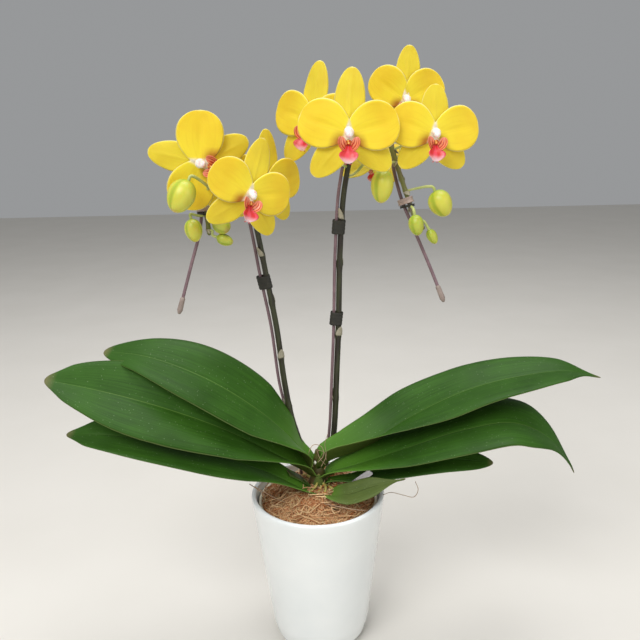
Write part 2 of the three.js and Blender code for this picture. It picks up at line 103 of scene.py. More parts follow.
def grid_faces(rows, columns, wrap=True):
    """Quads between neighbouring rings of a grid of points."""
    faces = []
    for r in range(rows - 1):
        for c in range(columns if wrap else columns - 1):
            d = (c + 1) % columns
            faces.append(
                (r * columns + c, r * columns + d, (r + 1) * columns + d, (r + 1) * columns + c)
            )
    return faces


def closed_rings(rings, start, end):
    """A closed skin over rings of points, with a middle point at each end."""
    rings = np.asarray(rings, float)
    rows, columns, _ = rings.shape
    faces = grid_faces(rows, columns)
    first, last = rows * columns, rows * columns + 1
    for c in range(columns):
        d = (c + 1) % columns
        faces.append((first, d, c))
        faces.append((last, (rows - 1) * columns + c, (rows - 1) * columns + d))
    points = np.vstack([rings.reshape(-1, 3), start, end])
    across, along = np.meshgrid(np.arange(columns) / columns, np.linspace(0, 1, rows))
    uv = np.vstack([np.stack([across, along], -1).reshape(-1, 2), (0.5, 0), (0.5, 1)])
    return {"points": points, "faces": faces, "uv": uv, "side": np.zeros(len(points))}


def turned(profile, steps):
    """A closed solid turned round Z from [radius, height] points, its first and last on it."""
    angle = np.arange(steps) / steps * 2 * math.pi
    rings = [[(r * math.cos(a), r * math.sin(a), z) for a in angle] for r, z in profile[1:-1]]
    return closed_rings(rings, (0, 0, profile[0][1]), (0, 0, profile[-1][1]))


def piece(name, parts, replaced=None):
    """One object from parts, each a skin and its material. It rides on the plant's body."""
    points, faces, uv, side, slots = [], [], [], [], []
    materials = []
    count = 0
    for skin, material in parts:
        if material not in materials:
            materials.append(material)
        points.append(skin["points"])
        uv.append(skin["uv"])
        side.append(skin["side"])
        faces += [tuple(i + count for i in face) for face in skin["faces"]]
        slots += [materials.index(material)] * len(skin["faces"])
        count += len(skin["points"])
    mesh = bpy.data.meshes.new(name)
    mesh.from_pydata(np.vstack(points).tolist(), [], faces)
    for material in materials:
        mesh.materials.append(material)
    mesh.polygons.foreach_set("material_index", slots)
    mesh.polygons.foreach_set("use_smooth", [True] * len(faces))
    corners = np.zeros(len(mesh.loops), np.int32)
    mesh.loops.foreach_get("vertex_index", corners)
    layer = mesh.uv_layers.new(name="grown")
    layer.data.foreach_set("uv", np.vstack(uv)[corners].ravel())
    mesh.attributes.new("side", "FLOAT", "POINT").data.foreach_set("value", np.concatenate(side))
    mesh.update()
    made = bpy.data.objects.new(name, mesh)
    bpy.context.scene.collection.objects.link(made)
    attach(made, "root")
    if replaced:
        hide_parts(replaced)
    return made


# White tin glaze, dipped: glassy, with faint pooling in its tone and a slow ripple.
glaze, tree, shader = start_material(
    "white_dipped_glaze", {
        "Roughness": 0.12, "IOR": 1.5, "Coat Weight": 0.3, "Coat Roughness": 0.06
    }
)
place = add_node(tree, "ShaderNodeTexCoord").outputs["Object"]
pooling = add_node(tree, "ShaderNodeTexNoise", {"Scale": 18, "Detail": 3, "Vector": place})
tone = add_node(
    tree, "ShaderNodeMix",
    {"data_type": "RGBA", 6: linear("DDE2E2"), 7: linear("EEF0EE"), 0: pooling},
)
gloss = add_node(tree, "ShaderNodeMapRange", {"To Min": 0.08, "To Max": 0.2, "Value": pooling})
ripple = add_node(tree, "ShaderNodeTexNoise", {"Scale": 120, "Detail": 1, "Vector": place})
bump = add_node(tree, "ShaderNodeBump", {"Strength": 0.08, "Distance": 0.0006, "Height": ripple})
feed(tree, shader, {"Base Color": tone, "Roughness": gloss, "Normal": bump})

pot_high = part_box("ceramic_pot")[1]
POT_HEIGHT = pot_high.z
POT_RIM = pot_high.x
POT_BASE = 48 * MM
POT_WALL = 4.8 * MM
POT_FLOOR = 7 * MM
FOOT_ROUND = 10 * MM
POT_FILLET = 8 * MM


def pot_radius(z):
    """The outside of the cone at a height."""
    return POT_BASE + (POT_RIM - POT_BASE) * z / POT_HEIGHT


profile = [(0, 0), (0.02, 0), (pot_radius(0) - FOOT_ROUND, 0)]
for i in range(1, 9):
    a = i / 8 * math.pi / 2
    profile.append((pot_radius(0) - FOOT_ROUND * (1 - math.sin(a)), FOOT_ROUND * (1 - math.cos(a))))
for i in range(1, 24):
    z = FOOT_ROUND + (POT_HEIGHT - POT_WALL / 2 - FOOT_ROUND) * i / 24
    profile.append((pot_radius(z), z))
for i in range(11):
    a = i / 10 * math.pi
    lip_middle = pot_radius(POT_HEIGHT - POT_WALL / 2) - POT_WALL / 2
    profile.append(
        (lip_middle + POT_WALL / 2 * math.cos(a), POT_HEIGHT - POT_WALL / 2 * (1 - math.sin(a)))
    )
for i in range(23, -1, -1):
    z = POT_FLOOR + POT_FILLET + (POT_HEIGHT - POT_WALL - POT_FLOOR - POT_FILLET) * i / 24
    profile.append((pot_radius(z) - POT_WALL, z))
for i in range(1, 7):
    a = i / 6 * math.pi / 2
    profile.append(
        (
            pot_radius(POT_FLOOR) - POT_WALL - POT_FILLET * (1 - math.cos(a)),
            POT_FLOOR + POT_FILLET * (1 - math.sin(a)),
        )
    )
profile += [(0.02, POT_FLOOR), (0, POT_FLOOR)]
piece("cover_pot", [(turned(profile, 128), glaze)], "ceramic_pot")

# -------------------------------------------------------------------------- nursery pot
# The thin pot the plant was grown in, thermoformed from cloudy beige plastic. It has a
# rolled rim, drain holes in its base, and stands loose in the cover pot.
def mottled(name, tones, scale, detail, relief, depth, given, gloss=None):
    """A material whose two tones follow one noise. The noise is also its relief, to a depth
    in metres, and its gloss, between two values, where that is given."""
    made, tree, shader = start_material(name, given)
    place = add_node(tree, "ShaderNodeTexCoord").outputs["Object"]
    noise = add_node(
        tree, "ShaderNodeTexNoise", {"Scale": scale, "Detail": detail, "Vector": place}
    )
    dark, light = (linear(tone) for tone in tones)
    tone = add_node(tree, "ShaderNodeMix", {"data_type": "RGBA", 6: dark, 7: light, 0: noise})
    bump = add_node(
        tree, "ShaderNodeBump", {"Strength": relief, "Distance": depth, "Height": noise}
    )
    feed(tree, shader, {"Base Color": tone, "Normal": bump})
    if gloss:
        ends = {"To Min": gloss[0], "To Max": gloss[1], "Value": noise}
        feed(tree, shader, {"Roughness": add_node(tree, "ShaderNodeMapRange", ends)})
    return made


# Cloudy plastic: milky, a little see-through at its thin wall, its gloss dulled in patches.
growing_plastic = mottled(
    "cloudy_thermoformed_plastic", ("CFC4A6", "F2ECDA"), 60, 4, 0.15, 0.0004,
    {"IOR": 1.49, "Subsurface Weight": 0.15, "Subsurface Radius": (0.004, 0.003, 0.002)},
    (0.32, 0.55),
)

nursery_low, nursery_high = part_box("nursery_pot")
NURSERY_RIM = nursery_high.x
NURSERY_FOOT = 37 * MM
NURSERY_WALL = 1.2 * MM
ROLL = 1.5 * MM  # radius of the rolled rim
DRAIN_HOLES = 5
DRAIN_HOLE_RADIUS = 4 * MM
DRAIN_HOLE_REACH = 24 * MM


def nursery_radius(z):
    """The outside of the growing pot's wall at a height."""
    share = (z - nursery_low.z) / (nursery_high.z - nursery_low.z)
    return NURSERY_FOOT + (NURSERY_RIM - MM - NURSERY_FOOT) * share


profile = [(0, nursery_low.z), (0.012, nursery_low.z)]
profile.append((NURSERY_FOOT, nursery_low.z))
for i in range(1, 16):
    z = nursery_low.z + (nursery_high.z - 2 * ROLL - nursery_low.z) * i / 15
    profile.append((nursery_radius(z), z))
for i in range(9):
    a = -math.pi / 2 + i / 8 * 1.5 * math.pi
    profile.append(
        (NURSERY_RIM - ROLL * (1 - math.cos(a)), nursery_high.z - ROLL * (1 - math.sin(a)))
    )
for i in range(15, -1, -1):
    z = nursery_low.z + NURSERY_WALL + (nursery_high.z - 2 * ROLL - nursery_low.z) * i / 15
    profile.append((nursery_radius(z) - NURSERY_WALL, z))
profile += [(0.012, nursery_low.z + NURSERY_WALL), (0, nursery_low.z + NURSERY_WALL)]
growing_pot = piece(
    "growing_pot", [(turned(profile, 96), growing_plastic)], "nursery_pot"
)
drill = bpy.data.objects.new("drill", bpy.data.meshes.new("drill"))
bpy.context.scene.collection.objects.link(drill)
drill_points, drill_faces = [], []
for hole in range(DRAIN_HOLES):
    a = hole / DRAIN_HOLES * 2 * math.pi
    middle = (DRAIN_HOLE_REACH * math.cos(a), DRAIN_HOLE_REACH * math.sin(a))
    pin = turned(
        [(0, 0.003), (DRAIN_HOLE_RADIUS, 0.003), (DRAIN_HOLE_RADIUS, 0.012), (0, 0.012)], 20
    )
    drill_faces += [tuple(i + len(drill_points) for i in face) for face in pin["faces"]]
    drill_points += (pin["points"] + (middle[0], middle[1], 0)).tolist()
drill.data.from_pydata(drill_points, [], drill_faces)
boring = growing_pot.modifiers.new("drain_holes", "BOOLEAN")
boring.object = drill
boring.operation = "DIFFERENCE"
boring.solver = "EXACT"
bored = bpy.data.meshes.new_from_object(
    growing_pot.evaluated_get(bpy.context.evaluated_depsgraph_get())
)
growing_pot.modifiers.clear()
growing_pot.data = bored
bpy.data.objects.remove(drill)

# --------------------------------------------------------------------------------- coir
# Coconut fibre packed round the roots: a springy mat of curled orange-brown hairs over a
# darker heart, heaped up towards the plant and sunk into dark hollows at the sides.
NURSERY_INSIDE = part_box("coir_medium")[1].x
COIR_EDGE = 151.5 * MM
COIR_TOP = 166 * MM
COIR_HEAP = 24 * MM
COIR_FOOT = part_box("coir_medium")[0].z
HOLLOWS = [(-42, -4, 12, 13), (38, -3, 12, 12), (-30, 30, 14, 9), (17, -30, 8, 9), (-24, -30, 5, 5)]


def smooth(t):
    """Eases from 0 to 1."""
    t = np.clip(t, 0, 1)
    return t * t * (3 - 2 * t)


def coir_height(x, y):
    """The top of the fibre at a place, in metres."""
    r = np.hypot(x, y)
    z = COIR_TOP + (COIR_EDGE - COIR_TOP) * smooth((r - COIR_HEAP) / (NURSERY_INSIDE - COIR_HEAP))
    for hx, hy, size, depth in HOLLOWS:
        z = z - depth * MM * np.exp(-((x - hx * MM) ** 2 + (y - hy * MM) ** 2) / (size * MM) ** 2)
    lumps = np.sin(x * 610 + 1.3) * np.sin(y * 540 + 0.4) + np.sin(x * 1270 + y * 980)
    return z + lumps * 0.7 * MM


# The heart of the mat: fibre dust and short hairs packed dark, seen between the hairs.
coir_heart = mottled(
    "packed_coir_dust", ("2A160C", "B87444"), 420, 5, 0.9, 0.0015,
    {"Roughness": 0.95, "Specular IOR Level": 0.15},
)

angles = np.arange(96) / 96 * 2 * math.pi
rings = []
for share in np.linspace(0, 1, 12):
    z = COIR_FOOT + (COIR_EDGE - 5 * MM - COIR_FOOT) * share
    radius = nursery_radius(z) - NURSERY_WALL - 0.4 * MM
    rings.append(np.stack([radius * np.cos(angles), radius * np.sin(angles), np.full(96, z)], -1))
for share in np.linspace(0.99, 0.02, 40):
    x, y = NURSERY_INSIDE * share * np.cos(angles), NURSERY_INSIDE * share * np.sin(angles)
    rings.append(np.stack([x, y, coir_height(x, y)], -1))
heart = closed_rings(rings, (0, 0, COIR_FOOT), (0, 0, coir_height(0, 0)))
coir = piece("coir_heart", [(heart, coir_heart)], "coir_medium")

# Coconut hair: each hair has its own tone, from straw to rust, and a dull waxy surface.
# The real hairs are 0.1 to 0.3 mm thick; these are drawn 0.5 to 1 mm thick, to show.
coir_hair, tree, shader = start_material(
    "coconut_hair", {"Roughness": 0.72, "Specular IOR Level": 0.3}
)
place = add_node(tree, "ShaderNodeTexCoord").outputs["Object"]
own = add_node(tree, "ShaderNodeAttribute", {"attribute_name": "shade"})
straw = add_node(
    tree, "ShaderNodeMix",
    {"data_type": "RGBA", 6: linear("BC6E38"), 7: linear("FFDDA8"), 0: own.outputs["Fac"]},
)
fleck = add_node(tree, "ShaderNodeTexNoise", {"Scale": 700, "Detail": 2, "Vector": place})
tone = add_node(
    tree, "ShaderNodeMix",
    {"data_type": "RGBA", "blend_type": "MULTIPLY", 0: 0.35, 6: straw, 7: fleck.outputs["Color"]},
)
dull = add_node(tree, "ShaderNodeMapRange", {"To Min": 0.6, "To Max": 0.9, "Value": fleck})
bump = add_node(tree, "ShaderNodeBump", {"Strength": 0.4, "Distance": 0.0002, "Height": fleck})
feed(tree, shader, {"Base Color": tone, "Roughness": dull, "Normal": bump})


def hair_tree():
    """Scatters curled hairs over a surface, pressed to the heart and kept inside the pot."""
    tree = bpy.data.node_groups.new("coir_hairs", "GeometryNodeTree")
    tree.is_modifier = True
    face = tree.interface
    face.new_socket("Surface", in_out="INPUT", socket_type="NodeSocketGeometry")
    for name, kind in (
        ("Hairs per Square Metre", "NodeSocketFloat"),
        ("Hair Length", "NodeSocketFloat"),
        ("Hair Radius", "NodeSocketFloat"),
        ("Lift", "NodeSocketFloat"),
        ("Curl", "NodeSocketFloat"),
        ("Limit", "NodeSocketFloat"),
        ("Seed", "NodeSocketInt"),
    ):
        face.new_socket(name, in_out="INPUT", socket_type=kind)
    face.new_socket("Hairs", in_out="OUTPUT", socket_type="NodeSocketGeometry")
    given = add_node(tree, "NodeGroupInput").outputs
    scatter = add_node(
        tree, "GeometryNodeDistributePointsOnFaces",
        {"Mesh": given["Surface"], "Density": given["Hairs per Square Metre"],
         "Seed": given["Seed"]},
    )
    half = add_node(
        tree, "ShaderNodeMath", {"operation": "MULTIPLY", 1: 0.5, 0: given["Hair Length"]}
    )
    back = add_node(
        tree, "ShaderNodeMath", {"operation": "MULTIPLY", 1: -0.5, 0: given["Hair Length"]}
    )
    left = add_node(tree, "ShaderNodeCombineXYZ", {"X": back})
    right = add_node(tree, "ShaderNodeCombineXYZ", {"X": half})
    strand = add_node(tree, "GeometryNodeCurvePrimitiveLine", {"Start": left, "End": right})
    strand = add_node(tree, "GeometryNodeResampleCurve", {"Count": 15, "Curve": strand})
    tip_back = add_node(
        tree, "ShaderNodeMath", {"operation": "MULTIPLY", 1: -1.0, 0: given["Lift"]}
    )
    low = add_node(tree, "ShaderNodeCombineXYZ", {"Z": 0.0, "X": tip_back, "Y": tip_back})
    high = add_node(
        tree, "ShaderNodeCombineXYZ", {"Z": 2 * math.pi, "X": given["Lift"], "Y": given["Lift"]}
    )
    lean = add_node(
        tree, "FunctionNodeRandomValue",
        {"data_type": "FLOAT_VECTOR", 0: low, 1: high, "Seed": given["Seed"]},
    )
    spin = add_node(tree, "FunctionNodeEulerToRotation", {"Euler": lean})
    turn = add_node(
        tree, "FunctionNodeRotateRotation",
        {"rotation_space": "LOCAL", "Rotation": scatter.outputs["Rotation"], "Rotate By": spin},
    )
    sizes = add_node(
        tree, "FunctionNodeRandomValue",
        {"data_type": "FLOAT", 2: 0.45, 3: 1.35, "Seed": given["Seed"]},
    )
    hairs = add_node(
        tree, "GeometryNodeInstanceOnPoints",
        {"Points": scatter.outputs["Points"], "Instance": strand, "Rotation": turn,
         "Scale": sizes},
    )
    shade = add_node(
        tree, "FunctionNodeRandomValue", {"data_type": "FLOAT", 2: 0.0, 3: 1.0, "Seed": 5}
    )
    hairs = add_node(
        tree, "GeometryNodeStoreNamedAttribute",
        {"data_type": "FLOAT", "domain": "INSTANCE", "Name": "shade", "Geometry": hairs,
         "Value": shade},
    )
    hairs = add_node(tree, "GeometryNodeRealizeInstances", {"Geometry": hairs})
    own = add_node(tree, "GeometryNodeInputNamedAttribute", {"data_type": "FLOAT", "Name": "shade"})
    phase = add_node(
        tree, "ShaderNodeMath", {"operation": "MULTIPLY", 1: 300.0, 0: own.outputs["Attribute"]}
    )
    curl = add_node(
        tree, "ShaderNodeTexNoise",
        {"noise_dimensions": "4D", "Scale": 48.0, "Detail": 1.0, "W": phase},
    )
    curl = add_node(
        tree, "ShaderNodeVectorMath",
        {"operation": "SUBTRACT", 1: (0.5, 0.5, 0.5), 0: curl.outputs["Color"]},
    )
    curl = add_node(
        tree, "ShaderNodeVectorMath", {"operation": "MULTIPLY", 1: (1, 1, 0.35), 0: curl}
    )
    curl = add_node(
        tree, "ShaderNodeVectorMath", {"operation": "SCALE", 0: curl, "Scale": given["Curl"]}
    )
    hairs = add_node(tree, "GeometryNodeSetPosition", {"Geometry": hairs, "Offset": curl})
    spot = add_node(tree, "GeometryNodeInputPosition")
    flat = add_node(tree, "ShaderNodeVectorMath", {"operation": "MULTIPLY", 1: (1, 1, 0), 0: spot})
    reach = add_node(tree, "ShaderNodeVectorMath", {"operation": "LENGTH", 0: flat})
    room = add_node(tree, "ShaderNodeMath", {"operation": "DIVIDE", 0: given["Limit"], 1: reach})
    room = add_node(tree, "ShaderNodeMath", {"operation": "MINIMUM", 1: 1.0, 0: room})
    squeeze = add_node(tree, "ShaderNodeCombineXYZ", {"Z": 1.0, "X": room, "Y": room})
    kept = add_node(tree, "ShaderNodeVectorMath", {"operation": "MULTIPLY", 0: spot, 1: squeeze})
    hairs = add_node(tree, "GeometryNodeSetPosition", {"Geometry": hairs, "Position": kept})
    spot = add_node(tree, "GeometryNodeInputPosition")
    above = add_node(tree, "ShaderNodeVectorMath", {"operation": "ADD", 1: (0, 0, 0.05), 0: spot})
    heart_skin = add_node(tree, "GeometryNodeObjectInfo", {"Object": coir})
    ground = add_node(
        tree, "GeometryNodeRaycast",
        {"Target Geometry": heart_skin.outputs["Geometry"], "Source Position": above},
    )
    pressed = add_node(
        tree, "ShaderNodeMix",
        {"data_type": "VECTOR", 0: 0.35, 4: ground.outputs["Hit Position"], 5: spot},
    )
    hairs = add_node(
        tree, "GeometryNodeSetPosition",
        {"Geometry": hairs, "Selection": ground.outputs["Is Hit"], "Position": pressed},
    )
    section = add_node(
        tree, "GeometryNodeCurvePrimitiveCircle", {"Resolution": 3, "Radius": given["Hair Radius"]}
    )
    skin = add_node(
        tree, "GeometryNodeCurveToMesh",
        {"Fill Caps": True, "Curve": hairs, "Profile Curve": section},
    )
    skin = add_node(tree, "GeometryNodeRealizeInstances", {"Geometry": skin})
    skin = add_node(tree, "GeometryNodeSetMaterial", {"Material": coir_hair, "Geometry": skin})
    add_node(tree, "NodeGroupOutput", {"Hairs": skin})
    return tree


def hair_mat(name, tree, patch, sizes):
    """Runs the hair tree over a patch and keeps its result as a plain mesh piece."""
    source = bpy.data.objects.new("patch", patch)
    bpy.context.scene.collection.objects.link(source)
    growing = source.modifiers.new("hairs", "NODES")
    growing.node_group = tree
    for item in tree.interface.items_tree:
        if item.in_out == "INPUT" and item.name in sizes:
            growing[item.identifier] = sizes[item.name]
    mesh = bpy.data.meshes.new_from_object(
        source.evaluated_get(bpy.context.evaluated_depsgraph_get())
    )
    bpy.data.objects.remove(source)
    mesh.name = name
    made = bpy.data.objects.new(name, mesh)
    bpy.context.scene.collection.objects.link(made)
    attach(made, "root")
    return made


def coir_patch(inner, outer, bare, rows=24, columns=96):
    """A ring of the coir's top to grow hairs on. The middles of the hollows stay bare."""
    around = np.arange(columns) / columns * 2 * math.pi
    rings_of = []
    for radius in np.linspace(inner, outer, rows):
        x, y = radius * np.cos(around), radius * np.sin(around)
        rings_of.append(np.stack([x, y, coir_height(x, y) + 0.6 * MM], -1))
    places = np.vstack(rings_of)
    faces = []
    for face in grid_faces(rows, columns):
        x, y, _ = places[list(face)].mean(0) / MM
        if all(math.hypot(x - hx, y - hy) > size * bare for hx, hy, size, _ in HOLLOWS):
            faces.append(face[::-1])
    mesh = bpy.data.meshes.new("patch")
    mesh.from_pydata(places.tolist(), [], faces)
    return mesh


hairs = hair_tree()
for name, patch, density, length, radius, lift, curl, seed in (
    ("coir_mat", coir_patch(9 * MM, NURSERY_INSIDE - 2 * MM, 0.75), 170000, 34, 0.32, 0.15, 24, 3),
    ("coir_strands", coir_patch(12 * MM, NURSERY_INSIDE - 4 * MM, 0.8), 44000, 66, 0.5, 0.1, 50, 8),
    (
        "coir_loose_hairs", coir_patch(10 * MM, NURSERY_INSIDE - 8 * MM, 0.3), 14000, 36, 0.24,
        0.25, 40, 5
    ),
):
    hair_mat(
        name,
        hairs,
        patch,
        {
            "Hairs per Square Metre": float(density),
            "Hair Length": length * MM,
            "Hair Radius": radius * MM,
            "Lift": lift,
            "Curl": curl * MM,
            "Limit": NURSERY_INSIDE - 0.6 * MM,
            "Seed": seed,
        },
    )


# --------------------------------------------------------------------- crown and leaves
# The short green stem, and the thick strap leaves that grow from it in two ranks. Each leaf
# clasps the stem with a folded foot, opens flat, and has a sunken midrib.
def unit(vectors):
    """Vectors at length 1."""
    length = np.linalg.norm(vectors, axis=-1, keepdims=True)
    return vectors / np.maximum(length, 1e-12)


def route(points, count):
    """Places at equal steps along a smooth curve through points given in mm, in metres."""
    p = np.array(points, float) * MM
    p = np.vstack([2 * p[0] - p[1], p, 2 * p[-1] - p[-2]])
    t = np.linspace(0, 1, 40, endpoint=False)[:, None]
    places = []
    for a, b, c, d in zip(p, p[1:], p[2:], p[3:]):
        k0, k1, k2 = (math.sqrt(np.linalg.norm(step)) for step in (b - a, c - b, d - c))
        out = ((b - a) / k0 - (c - a) / (k0 + k1) + (c - b) / k1) * k1
        into = ((c - b) / k1 - (d - b) / (k1 + k2) + (d - c) / k2) * k1
        bend = -3 * b + 3 * c - 2 * out - into
        twist = 2 * b - 2 * c + out + into
        places.append(b + out * t + bend * t**2 + twist * t**3)
    places = np.vstack(places + [p[-2:-1]])
    steps = np.concatenate([[0], np.cumsum(np.linalg.norm(np.diff(places, axis=0), axis=1))])
    at = np.linspace(0, steps[-1], count)
    return np.stack([np.interp(at, steps, places[:, i]) for i in range(3)], -1)


def turn_about(vectors, axes, angle):
    """Vectors turned about unit axes by an angle, row by row."""
    cos, sin = np.cos(angle)[..., None], np.sin(angle)[..., None]
    dot = np.sum(vectors * axes, -1, keepdims=True)
    return vectors * cos + np.cross(axes, vectors) * sin + axes * dot * (1 - cos)


def tube(line, radii, sides=10, squash=1.0):
    """A closed tube along a line of points, with domed ends."""
    line = np.asarray(line, float)
    radii = np.broadcast_to(np.asarray(radii, float), (len(line),))
    along = unit(np.gradient(line, axis=0))
    normal = unit(np.cross(along[0], (0.3, 0.9, 0.1)))
    rings = []
    angle = np.arange(sides)[:, None] / sides * 2 * math.pi
    dome = [(-0.8, 0.6)], [(0.8, 0.6)]
    spots = [(0, out, share) for out, share in dome[0]]
    spots += [(i, 0, 1) for i in range(len(line))]
    spots += [(len(line) - 1, out, share) for out, share in dome[1]]
    for i, out, share in spots:
        normal = unit(normal - along[i] * np.dot(normal, along[i]))
        across = np.cross(along[i], normal)
        middle = line[i] + along[i] * out * radii[i]
        rings.append(
            middle
            + radii[i] * share * (np.cos(angle) * normal + squash * np.sin(angle) * across)
        )
    skin = closed_rings(rings, line[0] - along[0] * radii[0], line[-1] + along[-1] * radii[-1])
    return skin


def blade(surface, across, along, thickness, profile=None):
    """A thin closed sheet. surface(u, v) gives its middle for u from -1 to 1 across and v
    from 0 to 1 along. It thins to nothing at its margin, and its side is 1 on the back."""
    t = np.linspace(-1, 1, across + 1)
    u = 0.55 * np.sin(t * math.pi / 2) + 0.45 * t**3
    v = np.linspace(0, 1, along + 1)
    v = 0.25 * v + 0.75 * np.sin(v * math.pi / 2)
    uu, vv = np.meshgrid(u, v)
    middle = surface(uu, vv)
    over, up = np.gradient(middle, axis=1), np.gradient(middle, axis=0)
    crossed = np.cross(over, up)
    size = np.linalg.norm(over, axis=-1) * np.linalg.norm(up, axis=-1)
    square = (np.linalg.norm(crossed, axis=-1) / np.maximum(size, 1e-15))[..., None]
    spine = unit(crossed[:, across // 2 : across // 2 + 1])
    normal = unit(unit(crossed) * square**2 + spine * (1 - square**2))
    rim = np.clip((1 - np.abs(uu)) / 0.12, 0, 1) * np.clip(vv / 0.02, 0, 1)
    rim = np.sqrt(1 - (1 - rim * np.clip((1 - vv) / 0.04, 0, 1)) ** 2)
    thick = thickness / 2 * rim * (profile(uu, vv) if profile else 1)
    front = middle + normal * thick[..., None]
    back = middle - normal * thick[..., None]
    rows, columns = uu.shape
    index = np.arange(rows * columns).reshape(rows, columns)
    behind = index.copy()
    inner = (slice(1, -1), slice(1, -1))
    inside = np.arange((rows - 2) * (columns - 2)).reshape(rows - 2, columns - 2)
    behind[inner] = rows * columns + inside
    faces = []
    for r in range(rows - 1):
        for c in range(columns - 1):
            faces.append((index[r, c], index[r, c + 1], index[r + 1, c + 1], index[r + 1, c]))
            faces.append((behind[r, c], behind[r + 1, c], behind[r + 1, c + 1], behind[r, c + 1]))
    uv = np.stack([(uu + 1) / 2, vv], -1)
    points = np.vstack([front.reshape(-1, 3), back[inner].reshape(-1, 3)])
    border = np.zeros((rows, columns))
    border[[0, -1]] = 0.5
    border[:, [0, -1]] = 0.5
    return {
        "points": points,
        "faces": faces,
        "uv": np.vstack([uv.reshape(-1, 2), uv[inner].reshape(-1, 2)]),
        "side": np.concatenate([border.ravel(), np.ones((rows - 2) * (columns - 2))]),
    }


def leaf_material(name, deep, fresh, under, tip):
    """Waxy leaf skin: streaked along its length, specked with dust, paler underneath, with
    a thin pale line along its midrib and a thin pale margin."""
    made, tree, shader = start_material(
        name, {"IOR": 1.42, "Specular IOR Level": 0.19}
    )
    place = add_node(tree, "ShaderNodeTexCoord").outputs["Object"]
    grown = add_node(tree, "ShaderNodeUVMap", {"uv_map": "grown"})
    split = add_node(tree, "ShaderNodeSeparateXYZ", {0: grown})
    long_streaks = add_node(tree, "ShaderNodeMapping", {"Scale": (64, 3.5, 1), 0: grown})
    streak = add_node(tree, "ShaderNodeTexNoise", {"Scale": 1, "Detail": 3, "Vector": long_streaks})
    cloud = add_node(tree, "ShaderNodeTexNoise", {"Scale": 26, "Detail": 4, "Vector": place})
    both = add_node(tree, "ShaderNodeMath", {"operation": "ADD", 0: streak, 1: cloud})
    mottle = add_node(
        tree, "ShaderNodeMapRange", {"From Min": 0.6, "From Max": 1.35, "Value": both}
    )
    body = add_node(
        tree, "ShaderNodeMix", {"data_type": "RGBA", 6: linear(deep), 7: linear(fresh), 0: mottle}
    )
    foot = add_node(
        tree, "ShaderNodeMapRange",
        {"From Min": 0.32, "From Max": 0.0, "To Max": 0.75, "interpolation_type": "SMOOTHSTEP",
         "Value": split.outputs["Y"]},
    )
    mid = add_node(tree, "ShaderNodeMath", {"operation": "SUBTRACT", 1: 0.5, 0: split.outputs["X"]})
    mid = add_node(tree, "ShaderNodeMath", {"operation": "ABSOLUTE", 0: mid})
    rib = add_node(
        tree, "ShaderNodeMapRange",
        {"From Min": 0.009, "From Max": 0.0, "To Max": 0.3, "interpolation_type": "SMOOTHSTEP",
         "Value": mid},
    )
    edge = add_node(
        tree, "ShaderNodeMapRange",
        {"From Min": 0.484, "From Max": 0.5, "To Max": 0.55, "Value": mid},
    )
    end = add_node(
        tree, "ShaderNodeMapRange",
        {"From Min": 0.965, "From Max": 1.0, "To Max": 0.7, "Value": split.outputs["Y"]},
    )
    dust = add_node(
        tree, "ShaderNodeTexVoronoi", {"Scale": 260, "Randomness": 1.0, "Vector": place}
    )
    dust = add_node(
        tree, "ShaderNodeMapRange",
        {"From Min": 0.15, "From Max": 0.03, "To Max": 0.3, "Value": dust.outputs["Distance"]},
    )
    side = add_node(tree, "ShaderNodeAttribute", {"attribute_name": "side"})
    below = add_node(
        tree, "ShaderNodeMapRange",
        {"From Min": 0.5, "From Max": 0.9, "To Max": 0.85, "Value": side.outputs["Fac"]},
    )
    for share, laid in (
        (foot, "5E8F2C"), (rib, "86A854"), (edge, "8A9B5C"), (end, tip), (dust, "A9BC94"),
        (below, under)
    ):
        body = add_node(
            tree, "ShaderNodeMix", {"data_type": "RGBA", 7: linear(laid), 0: share, 6: body}
        )
    sheen = add_node(tree, "ShaderNodeMapRange", {"To Min": 0.36, "To Max": 0.56, "Value": cloud})
    skin = add_node(tree, "ShaderNodeTexNoise", {"Scale": 900, "Detail": 1, "Vector": place})
    relief = add_node(
        tree, "ShaderNodeMath", {"operation": "MULTIPLY_ADD", 1: 2.0, 0: streak, 2: skin}
    )
    bump = add_node(
        tree, "ShaderNodeBump", {"Strength": 0.25, "Distance": 0.0003, "Height": relief}
    )
    feed(tree, shader, {"Base Color": body, "Roughness": sheen, "Normal": bump})
    return made


leaf_skin = leaf_material("waxy_leaf_skin", "213F0E", "365E1B", "474B22", "7C7050")
old_leaf_skin = leaf_material("ageing_leaf_skin", "44562A", "66743A", "54582E", "8A6848")

LEAF_THICKNESS = 2.4 * MM
